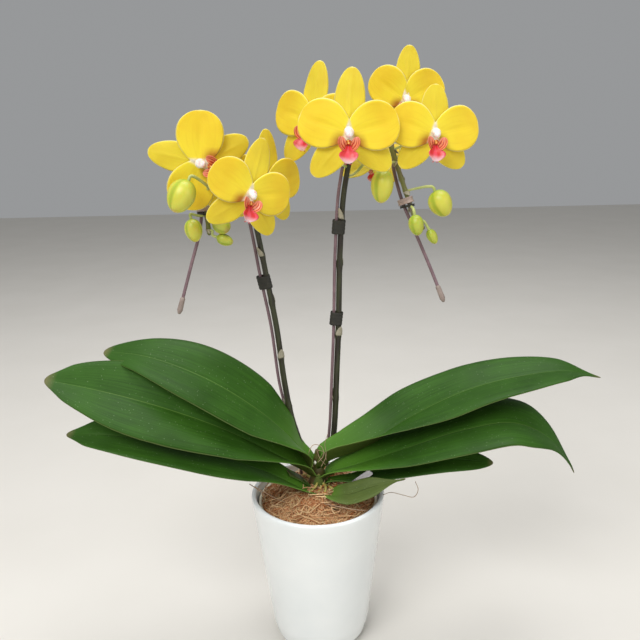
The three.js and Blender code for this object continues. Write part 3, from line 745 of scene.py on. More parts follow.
# Each leaf: spine in mm; width in mm; roll, fold at its foot and fold at its tip in degrees;
# where it is widest (higher is nearer the tip); where its tail starts and what it narrows to.
LEAVES = {
    "leaf_left_upper": (
        [
            (-7, 1, 184), (-12, 1, 194), (-28, -4, 221), (-60, -8, 254), (-105, -7, 285),
            (-158, 0, 305), (-203, 8, 309),
        ],
        76, 25, 8, 11, 0.98, 1.0, 1.0,
    ),
    "leaf_left_middle": (
        [
            (-6, -3, 177), (-12, -4, 184), (-38, -15, 206), (-85, -28, 240), (-140, -33, 265),
            (-198, -33, 284), (-244, -38, 298),
        ],
        84, 35, 16, 17, 1.36, 0.92, 0.85,
    ),
    "leaf_left_lower": (
        [
            (-2, -12, 160), (-12, -17, 168), (-42, -25, 190), (-80, -36, 213), (-130, -43, 233),
            (-184, -46, 246), (-229, -42, 246),
        ],
        60, 24, 12, 14, 1.35, 0.9, 0.75,
    ),
    "leaf_right_upper": (
        [
            (6, 0, 183), (11, 1, 192), (34, 3, 200), (56, 5, 210), (98, 6, 237), (150, 5, 262),
            (200, 2, 276), (245, 0, 281), (276, 0, 274),
        ],
        74, 14, 46, 13, 1.02, 0.86, 0.3,
    ),
    "leaf_right_middle": (
        [
            (6, -1, 172), (12, -3, 179), (44, -12, 194), (90, -18, 213), (140, -22, 232),
            (186, -25, 240), (218, -29, 227), (240, -32, 200), (245, -33, 190),
        ],
        77, 14, 16, 9, 1.34, 0.74, 0.16,
    ),
    "leaf_right_lower": (
        [
            (6, -1, 165), (12, -2, 170), (38, -5, 174), (76, -14, 189), (122, -25, 203),
            (167, -33, 203)
        ],
        30, 36, 20, 12, 1.7, 1.0, 1.0,
    ),
    "leaf_right_old": (
        [
            (9, -14, 162), (17, -23, 166), (32, -31, 172), (50, -36, 181), (68, -39, 188),
            (84, -38, 191)
        ],
        24, 38, 22, 12, 0.72, 0.6, 0.12,
    ),
}


def leaf_width(v, widest):
    """Share of a leaf's full width along it."""
    foot_width = 0.26 * (1 - v) ** 4 + 0.03
    return foot_width + 0.97 * np.sin(math.pi * np.clip(v, 0, 1) ** widest).clip(0) ** 0.64


def leaf_blade(spine, width, roll, foot_fold, tip_fold, widest, tail, tail_width, seed):
    """One leaf on its spine, as a closed sheet."""
    rows = 400
    line = route(spine, rows)
    along = unit(np.gradient(line, axis=0))
    share = np.linspace(0, 1, rows)
    face = np.sign(along[:, 0]) * math.radians(roll) * np.clip(share * 3, 0, 1)
    sideways = turn_about(unit(np.cross(along, (0, 0, 1))), along, face)
    up = np.cross(sideways, along)
    wave = np.random.default_rng(seed).uniform(0, 2 * math.pi, 4)

    def surface(u, v):
        at = [
            np.stack(
                [np.interp(v, share, a[:, i]) for i in range(3)], -1
            ) for a in (line, sideways, up)
        ]
        opening = math.radians(foot_fold) * (1 - smooth(v * 1.9)) + math.radians(tip_fold)
        narrow = 1 - (1 - tail_width) * smooth((v - tail) / max(0.98 - tail, 0.01))
        share_wide = leaf_width(v, widest) * narrow
        half = width / 2 * MM * share_wide
        vee = np.sqrt(u * u + 0.0009) - 0.03
        ripple = np.sin(v * 9 + wave[0] + u) * 0.7 + np.sin(v * 19 + wave[1] - 2 * u) * 0.3
        ripple = ripple * np.clip(share_wide * width / 45, 0, 1)
        rise = vee * half * np.sin(opening) - half * 0.09 * u**4 * smooth(v * 3)
        rise = rise + ripple * 1.1 * MM * np.abs(u) ** 1.5 * smooth(v * 4)
        rise = rise - 0.5 * MM * np.exp(-((u / 0.05) ** 2)) * smooth(v * 8) * smooth((1 - v) * 6)
        sway = np.sin(v * 5 + wave[2]) * 0.02
        spread = (u * np.cos(opening) + sway * (1 - u * u)) * half
        return at[0] + at[1] * spread[..., None] + at[2] * rise[..., None]

    def flesh(u, v):
        keel = 0.5 + 0.5 * np.exp(-((u / 0.16) ** 2))
        return keel * (1.25 - 0.5 * v)

    return blade(surface, 40, 72, LEAF_THICKNESS, flesh)


for number, (node, shape) in enumerate(LEAVES.items()):
    skin = old_leaf_skin if node.endswith("old") else leaf_skin
    grown = leaf_blade(*shape, 20 + number)
    piece(node.replace("leaf", "strap_leaf"), [(grown, skin)], node)

# Stem skin: firm olive tissue with brown scars where old leaves fell.
stem_skin, tree, shader = start_material("scarred_stem_skin", {"Roughness": 0.55})
place = add_node(tree, "ShaderNodeTexCoord").outputs["Object"]
squashed = add_node(tree, "ShaderNodeMapping", {"Scale": (40, 40, 260), 0: place})
scars = add_node(tree, "ShaderNodeTexNoise", {"Scale": 1, "Detail": 4, "Vector": squashed})
cut_in = add_node(tree, "ShaderNodeMapRange", {"From Min": 0.4, "From Max": 0.65, "Value": scars})
tone = add_node(
    tree, "ShaderNodeMix",
    {"data_type": "RGBA", 6: linear("5C5A28"), 7: linear("54401F"), 0: cut_in},
)
bump = add_node(tree, "ShaderNodeBump", {"Strength": 0.5, "Distance": 0.0006, "Height": scars})
feed(tree, shader, {"Base Color": tone, "Normal": bump})

crown_low, crown_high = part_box("plant_crown")
CROWN_RADIUS = crown_high.x
steps = np.linspace(0, 1, 26)
crown_line = np.stack(
    [0 * steps, 0 * steps, crown_low.z + 2 * MM + (crown_high.z - crown_low.z - 5 * MM) * steps], -1
)
crown_rings = 0.82 + 0.16 * np.abs(np.sin(steps * 13))
crown_radii = CROWN_RADIUS * crown_rings * (1 - 0.75 * smooth(steps * 1.4 - 0.45))
crown_parts = [(tube(crown_line, crown_radii, 24), stem_skin)]


# Sheaths: the dry and the green feet of leaves, wrapped round the stem one over another.
def sheath(angle, low, high, radius, flare, spread):
    """A foot that wraps round the stem, from one height to another."""

    def surface(u, v):
        a = angle + u * spread * (1 - 0.75 * v**1.5)
        r = radius + flare * v**2 + 0.4 * MM * np.cos(3 * u)
        z = low + (high - low) * v * (1 - 0.12 * u * u)
        return np.stack([r * np.cos(a), r * np.sin(a), z], -1)

    return blade(surface, 14, 14, 1.4 * MM)


for angle, low, high, radius, flare, spread, skin in (
    (-1.45, 158, 184, 9.6, 1.5, 0.9, old_leaf_skin),
    (-2.5, 156, 178, 10.4, 6.0, 0.7, leaf_skin),
    (-2.78, 158, 189, 10.4, 22.0, 0.9, leaf_skin),
    (-0.6, 156, 172, 10.2, 4.0, 0.7, old_leaf_skin),
    (1.6, 156, 180, 9.8, 2.0, 1.0, old_leaf_skin),
):
    crown_parts.append((sheath(angle, low * MM, high * MM, radius * MM, flare * MM, spread), skin))

# Roots: fleshy, grey-green where they are dry and yellow-green where they are young.
root_skin = mottled(
    "spongy_root_skin", ("7E8A2E", "C2AE6A"), 150, 3, 0.4, 0.0005,
    {"Roughness": 0.7, "Specular IOR Level": 0.3},
)

for points, thick in (
    ([(3, -8, 170), (3, -13, 168), (-1, -20, 165), (-4, -27, 157)], 1.5),
    ([(5, -8, 172), (8, -14, 170), (7, -20, 166), (9, -25, 158)], 1.3),
    ([(0, -9, 174), (-2, -15, 172), (-8, -18, 167), (-10, -24, 157)], 1.1),
    ([(7, -5, 168), (14, -12, 168), (18, -20, 163), (17, -27, 155)], 1.4),
    ([(-7, -5, 168), (-15, -9, 167), (-22, -14, 161), (-27, -16, 153)], 1.5),
    ([(-5, 8, 168), (-12, 15, 168), (-18, 24, 162), (-20, 30, 154)], 1.6),
    ([(6, 8, 170), (12, 15, 170), (20, 19, 164), (26, 22, 154)], 1.5),
):
    crown_parts.append((tube(route(points, 24), thick * MM, 10), root_skin))
piece("stem_sheaths_and_roots", crown_parts, "plant_crown")

# Stray hairs: single dry fibres that loop up out of the pot and over its rim, and one
# white bead of dried sap.
dry_bead = mottled("dried_sap", ("CFCBBE", "F2F0E6"), 800, 2, 0.3, 0.0002, {"Roughness": 0.5})
dry_hair = mottled(
    "dry_stray_fibre", ("6E5242", "C9AE8C"), 90, 2, 0.3, 0.0002, {"Roughness": 0.65}
)
strays = []
for points, thick in (
    (
        [
            (-4, -12, 192), (-8, -13, 206), (-3, -13, 216), (5, -12, 213), (6, -12, 203),
            (1, -12, 197)
        ],
        0.32
    ),
    ([(4, -12, 192), (9, -12, 204), (8, -11, 216), (11, -10, 226)], 0.26),
    ([(8, -12, 194), (3, -13, 201), (1, -12, 209), (7, -11, 207), (9, -12, 199)], 0.24),
    ([(-56, -14, 152), (-52, -20, 166), (-58, -24, 175), (-66, -22, 180)], 0.45),
    ([(-26, -24, 158), (-38, -28, 166), (-50, -32, 176), (-60, -32, 183)], 0.38),
    ([(6, -34, 164), (20, -40, 164), (34, -42, 162), (46, -38, 158)], 0.5),
    (
        [
            (62, -12, 158), (72, -14, 163), (84, -14, 160), (95, -15, 158), (99, -16, 166),
            (96, -17, 176)
        ],
        0.34
    ),
):
    strays.append((tube(route(points, 36), thick * MM, 6), dry_hair))

# More hairs cling to the stem and fan down from it into the pot.
rng = np.random.default_rng(11)
for number in range(18):
    angle = rng.uniform(-2.0, -1.1) if number % 4 else rng.uniform(0.9, 2.3)
    start_z, reach, bow = rng.uniform(160, 168), rng.uniform(16, 24), rng.uniform(-0.4, 0.4)
    points = []
    for t in (0.0, 0.25, 0.55, 0.8, 1.0):
        a = angle + bow * t + rng.uniform(-0.07, 0.07)
        r = 10.5 + (reach - 10.5) * t**1.2
        x, y = r * math.cos(a), r * math.sin(a)
        ground = float(coir_height(x * MM, y * MM)) / MM
        lift = 2.5 * math.sin(math.pi * t) * rng.uniform(0.3, 1.0)
        points.append((x, y, start_z + (ground - start_z) * t**0.7 + lift))
    strays.append((tube(route(points, 22), rng.uniform(0.2, 0.38) * MM, 5), coir_hair))
strays.append(
    (
        tube(
            route([(-2, -13, 196), (-2, -13, 198)], 5), np.array([0.9, 1.3, 1.4, 1.2, 0.8]) * MM, 10
        ),
        dry_bead
    )
)
piece("stray_hairs", strays)

# --------------------------------------------------------------- flower spikes and bracts
# Two round green-brown stems that climb, arch over and hang. They have joints with small
# papery bracts, and each flower's stalk leaves a joint of the hanging part.
SPIKES = {
    "left": [
        (-16, 17, 200), (-25, 25, 228), (-31, 27, 264), (-37, 24, 326), (-44, 18, 376),
        (-50, 12, 419),
        (-56, 5, 455), (-65, -4, 480), (-77, -13, 486), (-88, -18, 474), (-91, -21, 455),
        (-89, -24, 424),
    ],
    "right": [
        (16, 18, 200), (18.5, 19, 225), (21, 16, 275), (23.5, 13, 325), (26, 9, 403), (31, 4, 462),
        (40, -1, 496), (54, -5, 510), (67, -9, 502), (76, -15, 477), (85, -20, 450),
        (90, -23, 436), (98, -25, 425),
    ],
}
SPIKE_RADIUS = 2.7 * MM
CLIMBING_JOINTS = {"left": [240, 293, 350, 398], "right": [252, 319, 388, 432]}
HANGING_JOINTS = {"left": [470, 455, 441, 429], "right": [492, 482, 468, 457, 444, 431]}
SAMPLES = 600
spike_lines = {side: route(points, SAMPLES) for side, points in SPIKES.items()}


def place_on(side, z, hanging=False):
    """The place on a spike at a height in mm, and its direction and index there."""
    line = spike_lines[side]
    top = int(np.argmax(line[:, 2]))
    low, high = (top, SAMPLES) if hanging else (0, top)
    i = low + int(np.argmin(np.abs(line[low:high, 2] - z * MM)))
    i = min(max(i, 1), SAMPLES - 2)
    return line[i], unit(line[i + 1] - line[i - 1]), i


# Spike skin: olive to purple-brown, finely speckled, darker towards the foot.
spike_skin, tree, shader = start_material("speckled_spike_skin", {"Roughness": 0.45})
place = add_node(tree, "ShaderNodeTexCoord").outputs["Object"]
grown = add_node(tree, "ShaderNodeUVMap", {"uv_map": "grown"})
split = add_node(tree, "ShaderNodeSeparateXYZ", {0: grown})
stretched = add_node(tree, "ShaderNodeMapping", {"Scale": (260, 260, 40), 0: place})
speck = add_node(tree, "ShaderNodeTexNoise", {"Scale": 1, "Detail": 4, "Vector": stretched})
speck_cut = add_node(
    tree, "ShaderNodeMapRange", {"From Min": 0.42, "From Max": 0.62, "Value": speck}
)
lower = add_node(
    tree, "ShaderNodeMix",
    {"data_type": "RGBA", 6: linear("33361E"), 7: linear("231C15"), 0: speck_cut},
)
upper = add_node(
    tree, "ShaderNodeMix",
    {"data_type": "RGBA", 6: linear("74783F"), 7: linear("75675A"), 0: speck_cut},
)
climb = add_node(
    tree, "ShaderNodeMapRange", {"From Min": 0.7, "From Max": 0.8, "Value": split.outputs["Y"]}
)
tone = add_node(tree, "ShaderNodeMix", {"data_type": "RGBA", 0: climb, 6: lower, 7: upper})
satin = add_node(tree, "ShaderNodeMapRange", {"To Min": 0.35, "To Max": 0.6, "Value": speck})
bump = add_node(tree, "ShaderNodeBump", {"Strength": 0.3, "Distance": 0.0003, "Height": speck})
feed(tree, shader, {"Base Color": tone, "Roughness": satin, "Normal": bump})

# Bracts: dry papery scales, streaked pale and dark along their length.
bract_skin, tree, shader = start_material("papery_bract", {"Roughness": 0.7})
grown = add_node(tree, "ShaderNodeUVMap", {"uv_map": "grown"})
lines_along = add_node(tree, "ShaderNodeMapping", {"Scale": (30, 2, 1), 0: grown})
grain = add_node(tree, "ShaderNodeTexNoise", {"Scale": 1, "Detail": 3, "Vector": lines_along})
tone = add_node(
    tree, "ShaderNodeMix", {"data_type": "RGBA", 6: linear("6F6A55"), 7: linear("C3BBA6"), 0: grain}
)
bump = add_node(tree, "ShaderNodeBump", {"Strength": 0.5, "Distance": 0.0003, "Height": grain})
feed(tree, shader, {"Base Color": tone, "Normal": bump})


def bract(point, along, angle, length, radius):
    """A small scale that clasps the spike at a joint and points along it."""
    first = unit(np.cross(along, (0.9, 0.3, 0.2)))
    second = np.cross(along, first)

    def surface(u, v):
        a = angle - u * 1.5 * (1 - 0.93 * v**1.3)
        r = radius + 0.35 * MM + 1.3 * MM * v**2
        out = np.cos(a)[..., None] * first + np.sin(a)[..., None] * second
        return point + out * r[..., None] + along * (length * v)[..., None]

    return blade(surface, 10, 10, 0.5 * MM)


for side in ("left", "right"):
    line = spike_lines[side]
    share = np.linspace(0, 1, SAMPLES)
    radii = SPIKE_RADIUS * (1.12 - 0.42 * share**1.5)
    scales = []
    for number, z in enumerate(CLIMBING_JOINTS[side] + HANGING_JOINTS[side]):
        hanging = number >= len(CLIMBING_JOINTS[side])
        point, along, i = place_on(side, z, hanging)
        reach = 3 if hanging else 5
        radii = radii + 0.45 * MM * np.exp(-(((np.arange(SAMPLES) - i) / reach) ** 2))
        angle = (0.6 + 2.6 * number) % (2 * math.pi)
        scales.append(
            (bract(point, along, angle, (4 if hanging else 10) * MM, radii[i]), bract_skin)
        )
    stem = tube(line[::3], radii[::3], 16)
    piece(f"{side}_spike_stem", [(stem, spike_skin)] + scales, f"flower_spike_{side}")

# -------------------------------------------------------------------- stakes, ties, clips
# Wire stakes with a mauve plastic coat, pushed into the coir and bent over by hand. Black
# ties hold each spike to its stake, and a small clip holds it where it hangs.
STAKES = {
    "left": [
        (-12, 18, 60), (-15, 21, 150), (-22, 25, 200), (-30, 30, 232), (-36.5, 29.5, 264),
        (-42.4, 26, 326),
        (-50, 20, 376), (-55.5, 13.5, 419), (-61.5, 7, 456), (-68, 1, 481), (-78, -6, 491),
        (-90, -12, 481),
        (-96, -15, 458), (-96, -17, 440), (-99, -17, 424), (-108, -18, 396), (-120, -20, 358),
    ],
    "right": [
        (8, 18, 60), (9, 19, 150), (11.3, 19, 200), (13.6, 18, 225), (16.3, 15.5, 275),
        (18.8, 12.5, 325),
        (21.4, 8.5, 403), (26.2, 3.5, 463), (36, 4, 499), (52, 3, 515), (70, -1, 505),
        (73, -8, 477),
        (79.5, -17, 450), (88, -16, 430), (97, -19, 409), (105, -22, 390), (115, -25, 365),
    ],
}
STAKE_RADIUS = 1.5 * MM
CAP_RADIUS = 2.6 * MM
CAP_LENGTH = 13 * MM


# Coated, moulded and taped plastic: an uneven tone and a fine grain that breaks the gloss.
plastics = [
    mottled(name, tones, grain, 3, 0.25, 0.0002, {"IOR": 1.49}, (rough - 0.08, rough + 0.1))
    for name, tones, rough, grain in (
        ("mauve_plastic_coat", ("5E484C", "8A7076"), 0.45, 140),
        ("moulded_beige_cap", ("7C6C64", "A3938A"), 0.5, 200),
        ("black_binding_tape", ("141311", "35332A"), 0.6, 300),
        ("moulded_mauve_clip", ("8C7670", "B9A49A"), 0.4, 200),
    )
]
stake_coat, cap_plastic, tie_plastic, clip_plastic = plastics

stake_lines = {side: route(points, SAMPLES) for side, points in STAKES.items()}
for side, line in stake_lines.items():
    piece(
        f"{side}_stake_wire", [(tube(line[::3], STAKE_RADIUS, 12), stake_coat)],
        f"stake_{side}"
    )
    end = line[-1]
    out = unit(line[-1] - line[-4])
    share = np.linspace(0, 1, 14)
    cap_line = end + out * (4.3 * MM - CAP_LENGTH * share)[:, None]
    cap_radii = CAP_RADIUS * (1 - 0.15 * share) * (0.72 + 0.28 * smooth(share * 6))
    piece(
        f"{side}_stake_end", [(tube(cap_line, cap_radii, 16), cap_plastic)],
        f"stake_cap_{side}"
    )


def binding(side, z, height, wall, hanging, grooves):
    """A band round a spike and its stake: a ribbed racetrack loop."""
    point, along, _ = place_on(side, z, hanging)
    stake = stake_lines[side]
    other = stake[int(np.argmin(np.linalg.norm(stake - point, axis=1)))]
    across = unit(point - other)
    out = unit(np.cross(along, across))
    upward = np.cross(across, out)
    half = np.linalg.norm(point - other) / 2
    middle = (point + other) / 2
    inner = 3.25 * MM
    angle = np.linspace(-math.pi / 2, math.pi * 1.5, 48, endpoint=False)
    shift = np.where(np.cos(angle) > 1e-9, half, np.where(np.cos(angle) < -1e-9, -half, 0))
    section = []
    for t in np.linspace(-0.5, 0.5, 21):
        section.append(
            (inner + wall * (1 - 0.18 * (1 + math.cos(t * grooves * 2 * math.pi))), t * height)
        )
    section += [(inner, 0.48 * height), (inner, 0.0), (inner, -0.48 * height)]
    points = []
    for radius, rise in section:
        x = shift + radius * np.cos(angle)
        y = radius * np.sin(angle)
        points.append(middle + x[:, None] * across + y[:, None] * out + rise * upward)
    points = np.array(points)
    rows, columns, _ = points.shape
    faces = grid_faces(rows, columns)
    faces += [
        ((rows - 1) * columns + c, (rows - 1) * columns + (c + 1) % columns, (c + 1) % columns, c)
        for c in range(columns)
    ]
    u, v = np.meshgrid(np.arange(columns) / columns, np.arange(rows) / rows)
    return {
        "points": points.reshape(-1, 3),
        "faces": faces,
        "uv": np.stack([u, v], -1).reshape(-1, 2),
        "side": np.zeros(rows * columns),
    }


for name, side, z in (
    ("tie_left", "left", 372), ("tie_right_lower", "right", 336), ("tie_right_upper", "right", 424)
):
    band = binding(side, z, 13 * MM, 0.6 * MM, False, 4)
    piece(name.replace("tie", "binding"), [(band, tie_plastic)], name)
for name, side, z in (("clip_left", "left", 447), ("clip_right", "right", 450)):
    grip = binding(side, z, 5 * MM, 1.1 * MM, True, 1)
    ring = binding(side, z - 5, 2 * MM, 0.7 * MM, True, 1)
    piece(
        name.replace("clip", "spring_clip"), [(grip, clip_plastic), (ring, tie_plastic)],
        name
    )

# -------------------------------------------------------------------------- plant label
# A blank strip of white plastic pushed into the coir beside the plant. Its lower half is
# laid dark reddish brown, up to a blotchy edge.
LABEL_TOP = np.array((52, -21, 190)) * MM
LABEL_FOOT = np.array((15, -17, 158)) * MM
LABEL_LENGTH = 52 * MM
LABEL_WIDTH = 8 * MM
LABEL_THICKNESS = 0.9 * MM

label_plastic, tree, shader = start_material(
    "label_plastic_dark_foot", {"Roughness": 0.38, "IOR": 1.49}
)
grown = add_node(tree, "ShaderNodeUVMap", {"uv_map": "grown"})
split = add_node(tree, "ShaderNodeSeparateXYZ", {0: grown})
place = add_node(tree, "ShaderNodeTexCoord").outputs["Object"]
# Noise blotches the edge of the dark reddish-brown lower half and gives the plastic a fine relief.
blotch_noise = add_node(tree, "ShaderNodeTexNoise", {"Scale": 260, "Detail": 4, "Vector": place})
dark_foot_edge = add_node(
    tree, "ShaderNodeMath", {"operation": "MULTIPLY_ADD", 1: 0.35, 0: blotch_noise, 2: split.outputs["Y"]}
)
dark_foot_share = add_node(
    tree, "ShaderNodeMapRange",
    {"From Min": 0.98, "From Max": 0.72, "interpolation_type": "SMOOTHSTEP", "Value": dark_foot_edge},
)
tone = add_node(
    tree, "ShaderNodeMix", {"data_type": "RGBA", 6: linear("DAD8DC"), 7: linear("4E3630"), 0: dark_foot_share}
)
bump = add_node(tree, "ShaderNodeBump", {"Strength": 0.2, "Distance": 0.0002, "Height": blotch_noise})
feed(tree, shader, {"Base Color": tone, "Normal": bump})

label_along = unit(LABEL_TOP - LABEL_FOOT)
label_across = unit(np.cross((0.35, -0.75, 0), label_along))
label_out = np.cross(label_across, label_along)
rings = []
for share in np.linspace(0, 1, 40):
    corner = LABEL_WIDTH / 2 - 1.2 * MM * (1 - math.sqrt(1 - max(0, share * 26 - 25) ** 2 * 0.98))
    half = corner * (1 if share > 0.12 else 0.35 + 0.65 * share / 0.12)
    label_bow = label_out * 0.6 * MM * math.sin(share * 3)
    middle = LABEL_TOP - label_along * LABEL_LENGTH * (1 - share) + label_bow
    ring = []
    for x, y in (
        (-1, -0.6), (-0.96, -1), (0.96, -1), (1, -0.6), (1, 0.6), (0.96, 1), (-0.96, 1), (-1, 0.6)
    ):
        ring.append(middle + label_across * half * x + label_out * LABEL_THICKNESS / 2 * y)
    rings.append(ring)
label_skin = closed_rings(rings, np.mean(rings[0], 0), np.mean(rings[-1], 0))
if np.dot(np.cross(label_across, label_out), label_along) < 0:
    label_skin["faces"] = [face[::-1] for face in label_skin["faces"]]
label = piece("blank_label", [(label_skin, label_plastic)], "plant_label")
label.data.polygons.foreach_set("use_smooth", [False] * len(label.data.polygons))


# ------------------------------------------------------------------------------- flowers
# Yellow moth orchid flowers. Three narrow sepals stand behind two broad round petals, and
# in the middle a white column bends over a small red lip with two upright side lobes.
def petal_material(name, deep, bright, margin, blush):
    """Petal skin: velvety and slightly see-through, veined from its foot, with a brighter
    heart, a thin pale margin, and a red-brown blush at one side of its foot."""
    made, tree, shader = start_material(
        name,
        {
            "Roughness": 0.6,
            "Specular IOR Level": 0.3,
            "Subsurface Weight": 0.25,
            "Subsurface Scale": 0.004,
            "Sheen Weight": 0.15,
            "Sheen Roughness": 0.5,
        },
    )
    shader.inputs["Subsurface Radius"].default_value = (1.0, 0.8, 0.15)
    grown = add_node(tree, "ShaderNodeUVMap", {"uv_map": "grown"})
    split = add_node(tree, "ShaderNodeSeparateXYZ", {0: grown})
    place = add_node(tree, "ShaderNodeTexCoord").outputs["Object"]
    cloud = add_node(tree, "ShaderNodeTexNoise", {"Scale": 70, "Detail": 3, "Vector": place})
    radial = add_node(tree, "ShaderNodeMapping", {"Scale": (15, 1.3, 1), 0: grown})
    ribs = add_node(
        tree, "ShaderNodeTexNoise", {"Scale": 1, "Detail": 2, "Distortion": 0.3, "Vector": radial}
    )
    vein = add_node(
        tree, "ShaderNodeMapRange",
        {"From Min": 0.5, "From Max": 0.75, "To Max": 0.3, "Value": ribs},
    )
    out = add_node(
        tree, "ShaderNodeMapRange",
        {"From Min": 0.05, "From Max": 0.75, "interpolation_type": "SMOOTHSTEP",
         "Value": split.outputs["Y"]},
    )
    body = add_node(
        tree, "ShaderNodeMix", {"data_type": "RGBA", 6: linear(bright), 7: linear(deep), 0: out}
    )
    cloudy = add_node(
        tree, "ShaderNodeMapRange",
        {"From Min": 0.35, "From Max": 0.7, "To Max": 0.35, "Value": cloud},
    )
    mid = add_node(tree, "ShaderNodeMath", {"operation": "SUBTRACT", 1: 0.5, 0: split.outputs["X"]})
    wide = add_node(tree, "ShaderNodeMath", {"operation": "ABSOLUTE", 0: mid})
    far = add_node(tree, "ShaderNodeMath", {"operation": "SUBTRACT", 1: 0.5, 0: split.outputs["Y"]})
    rim = add_node(tree, "ShaderNodeMath", {"operation": "MAXIMUM", 0: wide, 1: far})
    edge = add_node(
        tree, "ShaderNodeMapRange",
        {"From Min": 0.475, "From Max": 0.5, "To Max": 0.6, "Value": rim},
    )
    foot = add_node(
        tree, "ShaderNodeMapRange",
        {"From Min": 0.36, "From Max": 0.2, "To Max": blush, "Value": split.outputs["Y"]},
    )
    one_side = add_node(
        tree, "ShaderNodeMapRange", {"From Min": 0.02, "From Max": 0.3, "Value": mid}
    )
    mark = add_node(tree, "ShaderNodeMath", {"operation": "MULTIPLY", 0: foot, 1: one_side})
    heart = add_node(
        tree, "ShaderNodeMapRange",
        {"From Min": 0.165, "From Max": 0.09, "To Max": 0.85, "interpolation_type": "SMOOTHSTEP",
         "Value": split.outputs["Y"]},
    )
    for share, laid in (
        (cloudy, bright), (vein, "D9AE1C"), (edge, margin), (mark, "9A3A14"), (heart, "FBF0D6")
    ):
        body = add_node(
            tree, "ShaderNodeMix", {"data_type": "RGBA", 7: linear(laid), 0: share, 6: body}
        )
    soft = add_node(tree, "ShaderNodeMapRange", {"To Min": 0.5, "To Max": 0.72, "Value": cloud})
    relief = add_node(
        tree, "ShaderNodeMath", {"operation": "MULTIPLY_ADD", 1: -0.5, 0: vein, 2: cloud}
    )
    bump = add_node(
        tree, "ShaderNodeBump", {"Strength": 0.35, "Distance": 0.0008, "Height": relief}
    )
    feed(tree, shader, {"Base Color": body, "Roughness": soft, "Normal": bump})
    return made


petal_skin = petal_material("velvety_yellow_petal", "E6C022", "F3DC34", "F3EBAC", 0.8)
sepal_skin = petal_material("yellow_sepal", "D8BE2A", "EDDA3A", "F1EAB0", 0.3)

# Stalk skin: smooth young tissue, yellow-green, mottled paler.
stalk_skin = mottled(
    "young_stalk_skin", ("96A845", "C6C98A"), 110, 3, 0.25, 0.0003, {"Roughness": 0.45}
)

# Column: waxy white tissue with a faint pink blush in patches.
column_skin, tree, shader = start_material(
    "waxy_white_column", {"Roughness": 0.3, "Subsurface Weight": 0.3, "Subsurface Scale": 0.003}
)
place = add_node(tree, "ShaderNodeTexCoord").outputs["Object"]
blush = add_node(tree, "ShaderNodeTexNoise", {"Scale": 260, "Detail": 2, "Vector": place})
tint = add_node(tree, "ShaderNodeMapRange", {"From Min": 0.45, "From Max": 0.75, "Value": blush})
tone = add_node(
    tree, "ShaderNodeMix", {"data_type": "RGBA", 6: linear("F6EEE8"), 7: linear("E9B9B4"), 0: tint}
)
bump = add_node(tree, "ShaderNodeBump", {"Strength": 0.15, "Distance": 0.0003, "Height": blush})
feed(tree, shader, {"Base Color": tone, "Normal": bump})


def lip_material(name, ground, stripe, tip, stripes):
    """Lip skin: firm and glossy, striped from its foot, and paler at its tip."""
    made, tree, shader = start_material(
        name, {"Roughness": 0.35, "Subsurface Weight": 0.2, "Subsurface Scale": 0.002}
    )
    grown = add_node(tree, "ShaderNodeUVMap", {"uv_map": "grown"})
    split = add_node(tree, "ShaderNodeSeparateXYZ", {0: grown})
    place = add_node(tree, "ShaderNodeTexCoord").outputs["Object"]
    uneven = add_node(tree, "ShaderNodeTexNoise", {"Scale": 320, "Detail": 3, "Vector": place})
    wander = add_node(
        tree, "ShaderNodeMath",
        {"operation": "MULTIPLY_ADD", 1: 0.12, 0: uneven, 2: split.outputs["X"]},
    )
    bars = add_node(
        tree, "ShaderNodeMath", {"operation": "MULTIPLY", 1: stripes * 2 * math.pi, 0: wander}
    )
    bars = add_node(tree, "ShaderNodeMath", {"operation": "SINE", 0: bars})
    bar = add_node(tree, "ShaderNodeMapRange", {"From Min": -0.2, "From Max": 0.5, "Value": bars})
    body = add_node(
        tree, "ShaderNodeMix", {"data_type": "RGBA", 6: linear(ground), 7: linear(stripe), 0: bar}
    )
    end = add_node(
        tree, "ShaderNodeMapRange",
        {"From Min": 0.7, "From Max": 0.95, "interpolation_type": "SMOOTHSTEP",
         "Value": split.outputs["Y"]},
    )
    body = add_node(tree, "ShaderNodeMix", {"data_type": "RGBA", 7: linear(tip), 0: end, 6: body})
    bump = add_node(tree, "ShaderNodeBump", {"Strength": 0.3, "Distance": 0.0004, "Height": uneven})
    feed(tree, shader, {"Base Color": body, "Normal": bump})
    return made


side_lobe_skin = lip_material("striped_side_lobe", "E69466", "BC3E28", "DE8466", 4.0)
middle_lobe_skin = lip_material("red_middle_lobe", "CE2F30", "DE4A58", "F6D0D4", 2.0)
callus_skin = lip_material("orange_callus", "E89A34", "B8401E", "F0C060", 4.0)

FLOWER_REACH = 43
BLADE_START = -2.5
# Each flower: spike; place in mm; turn, tilt and roll in degrees; size; the height in mm of
# its joint and whether that hangs; a point its stalk passes; how far its petals are raised
# in degrees; the length of its upper and lower sepals in mm; and how far the lower two are
# turned, in degrees.
FLOWERS = [
    ("left", (-38, -6, 466), 40, 0, -8, 0.93, 447, False, None, 3, 50, 45, 0),
    ("left", (-49, -58, 461), 30, 0, -21, 0.92, 430, False, (-43, -20, 440), 4, 51, 44, 4),
    ("left", (-89, -42, 486), 6, -4, 75, 1.0, 482, True, None, 0, 44, 43, -9),
    ("right", (59, 18, 484), 165, -35, 8, 0.75, 470, False, None, 0, 50, 45, 0),
    ("right", (3, -6, 517), -34, 0, -6, 1.0, 478, False, (22, -12, 492), 2, 50, 46, 5),
    ("right", (32, -54, 507), 0, 3, -3, 1.0, 499, False, (47, -22, 500), 6, 51, 44, 7),
    ("right", (85, 8, 534), 4, 0, -4, 0.88, 485, True, (84, 14, 506), 18, 52, 45, 0),
    ("right", (102, -42, 505), 8, 4, -6, 0.94, 492, True, None, 2, 42, 40, 3),
]


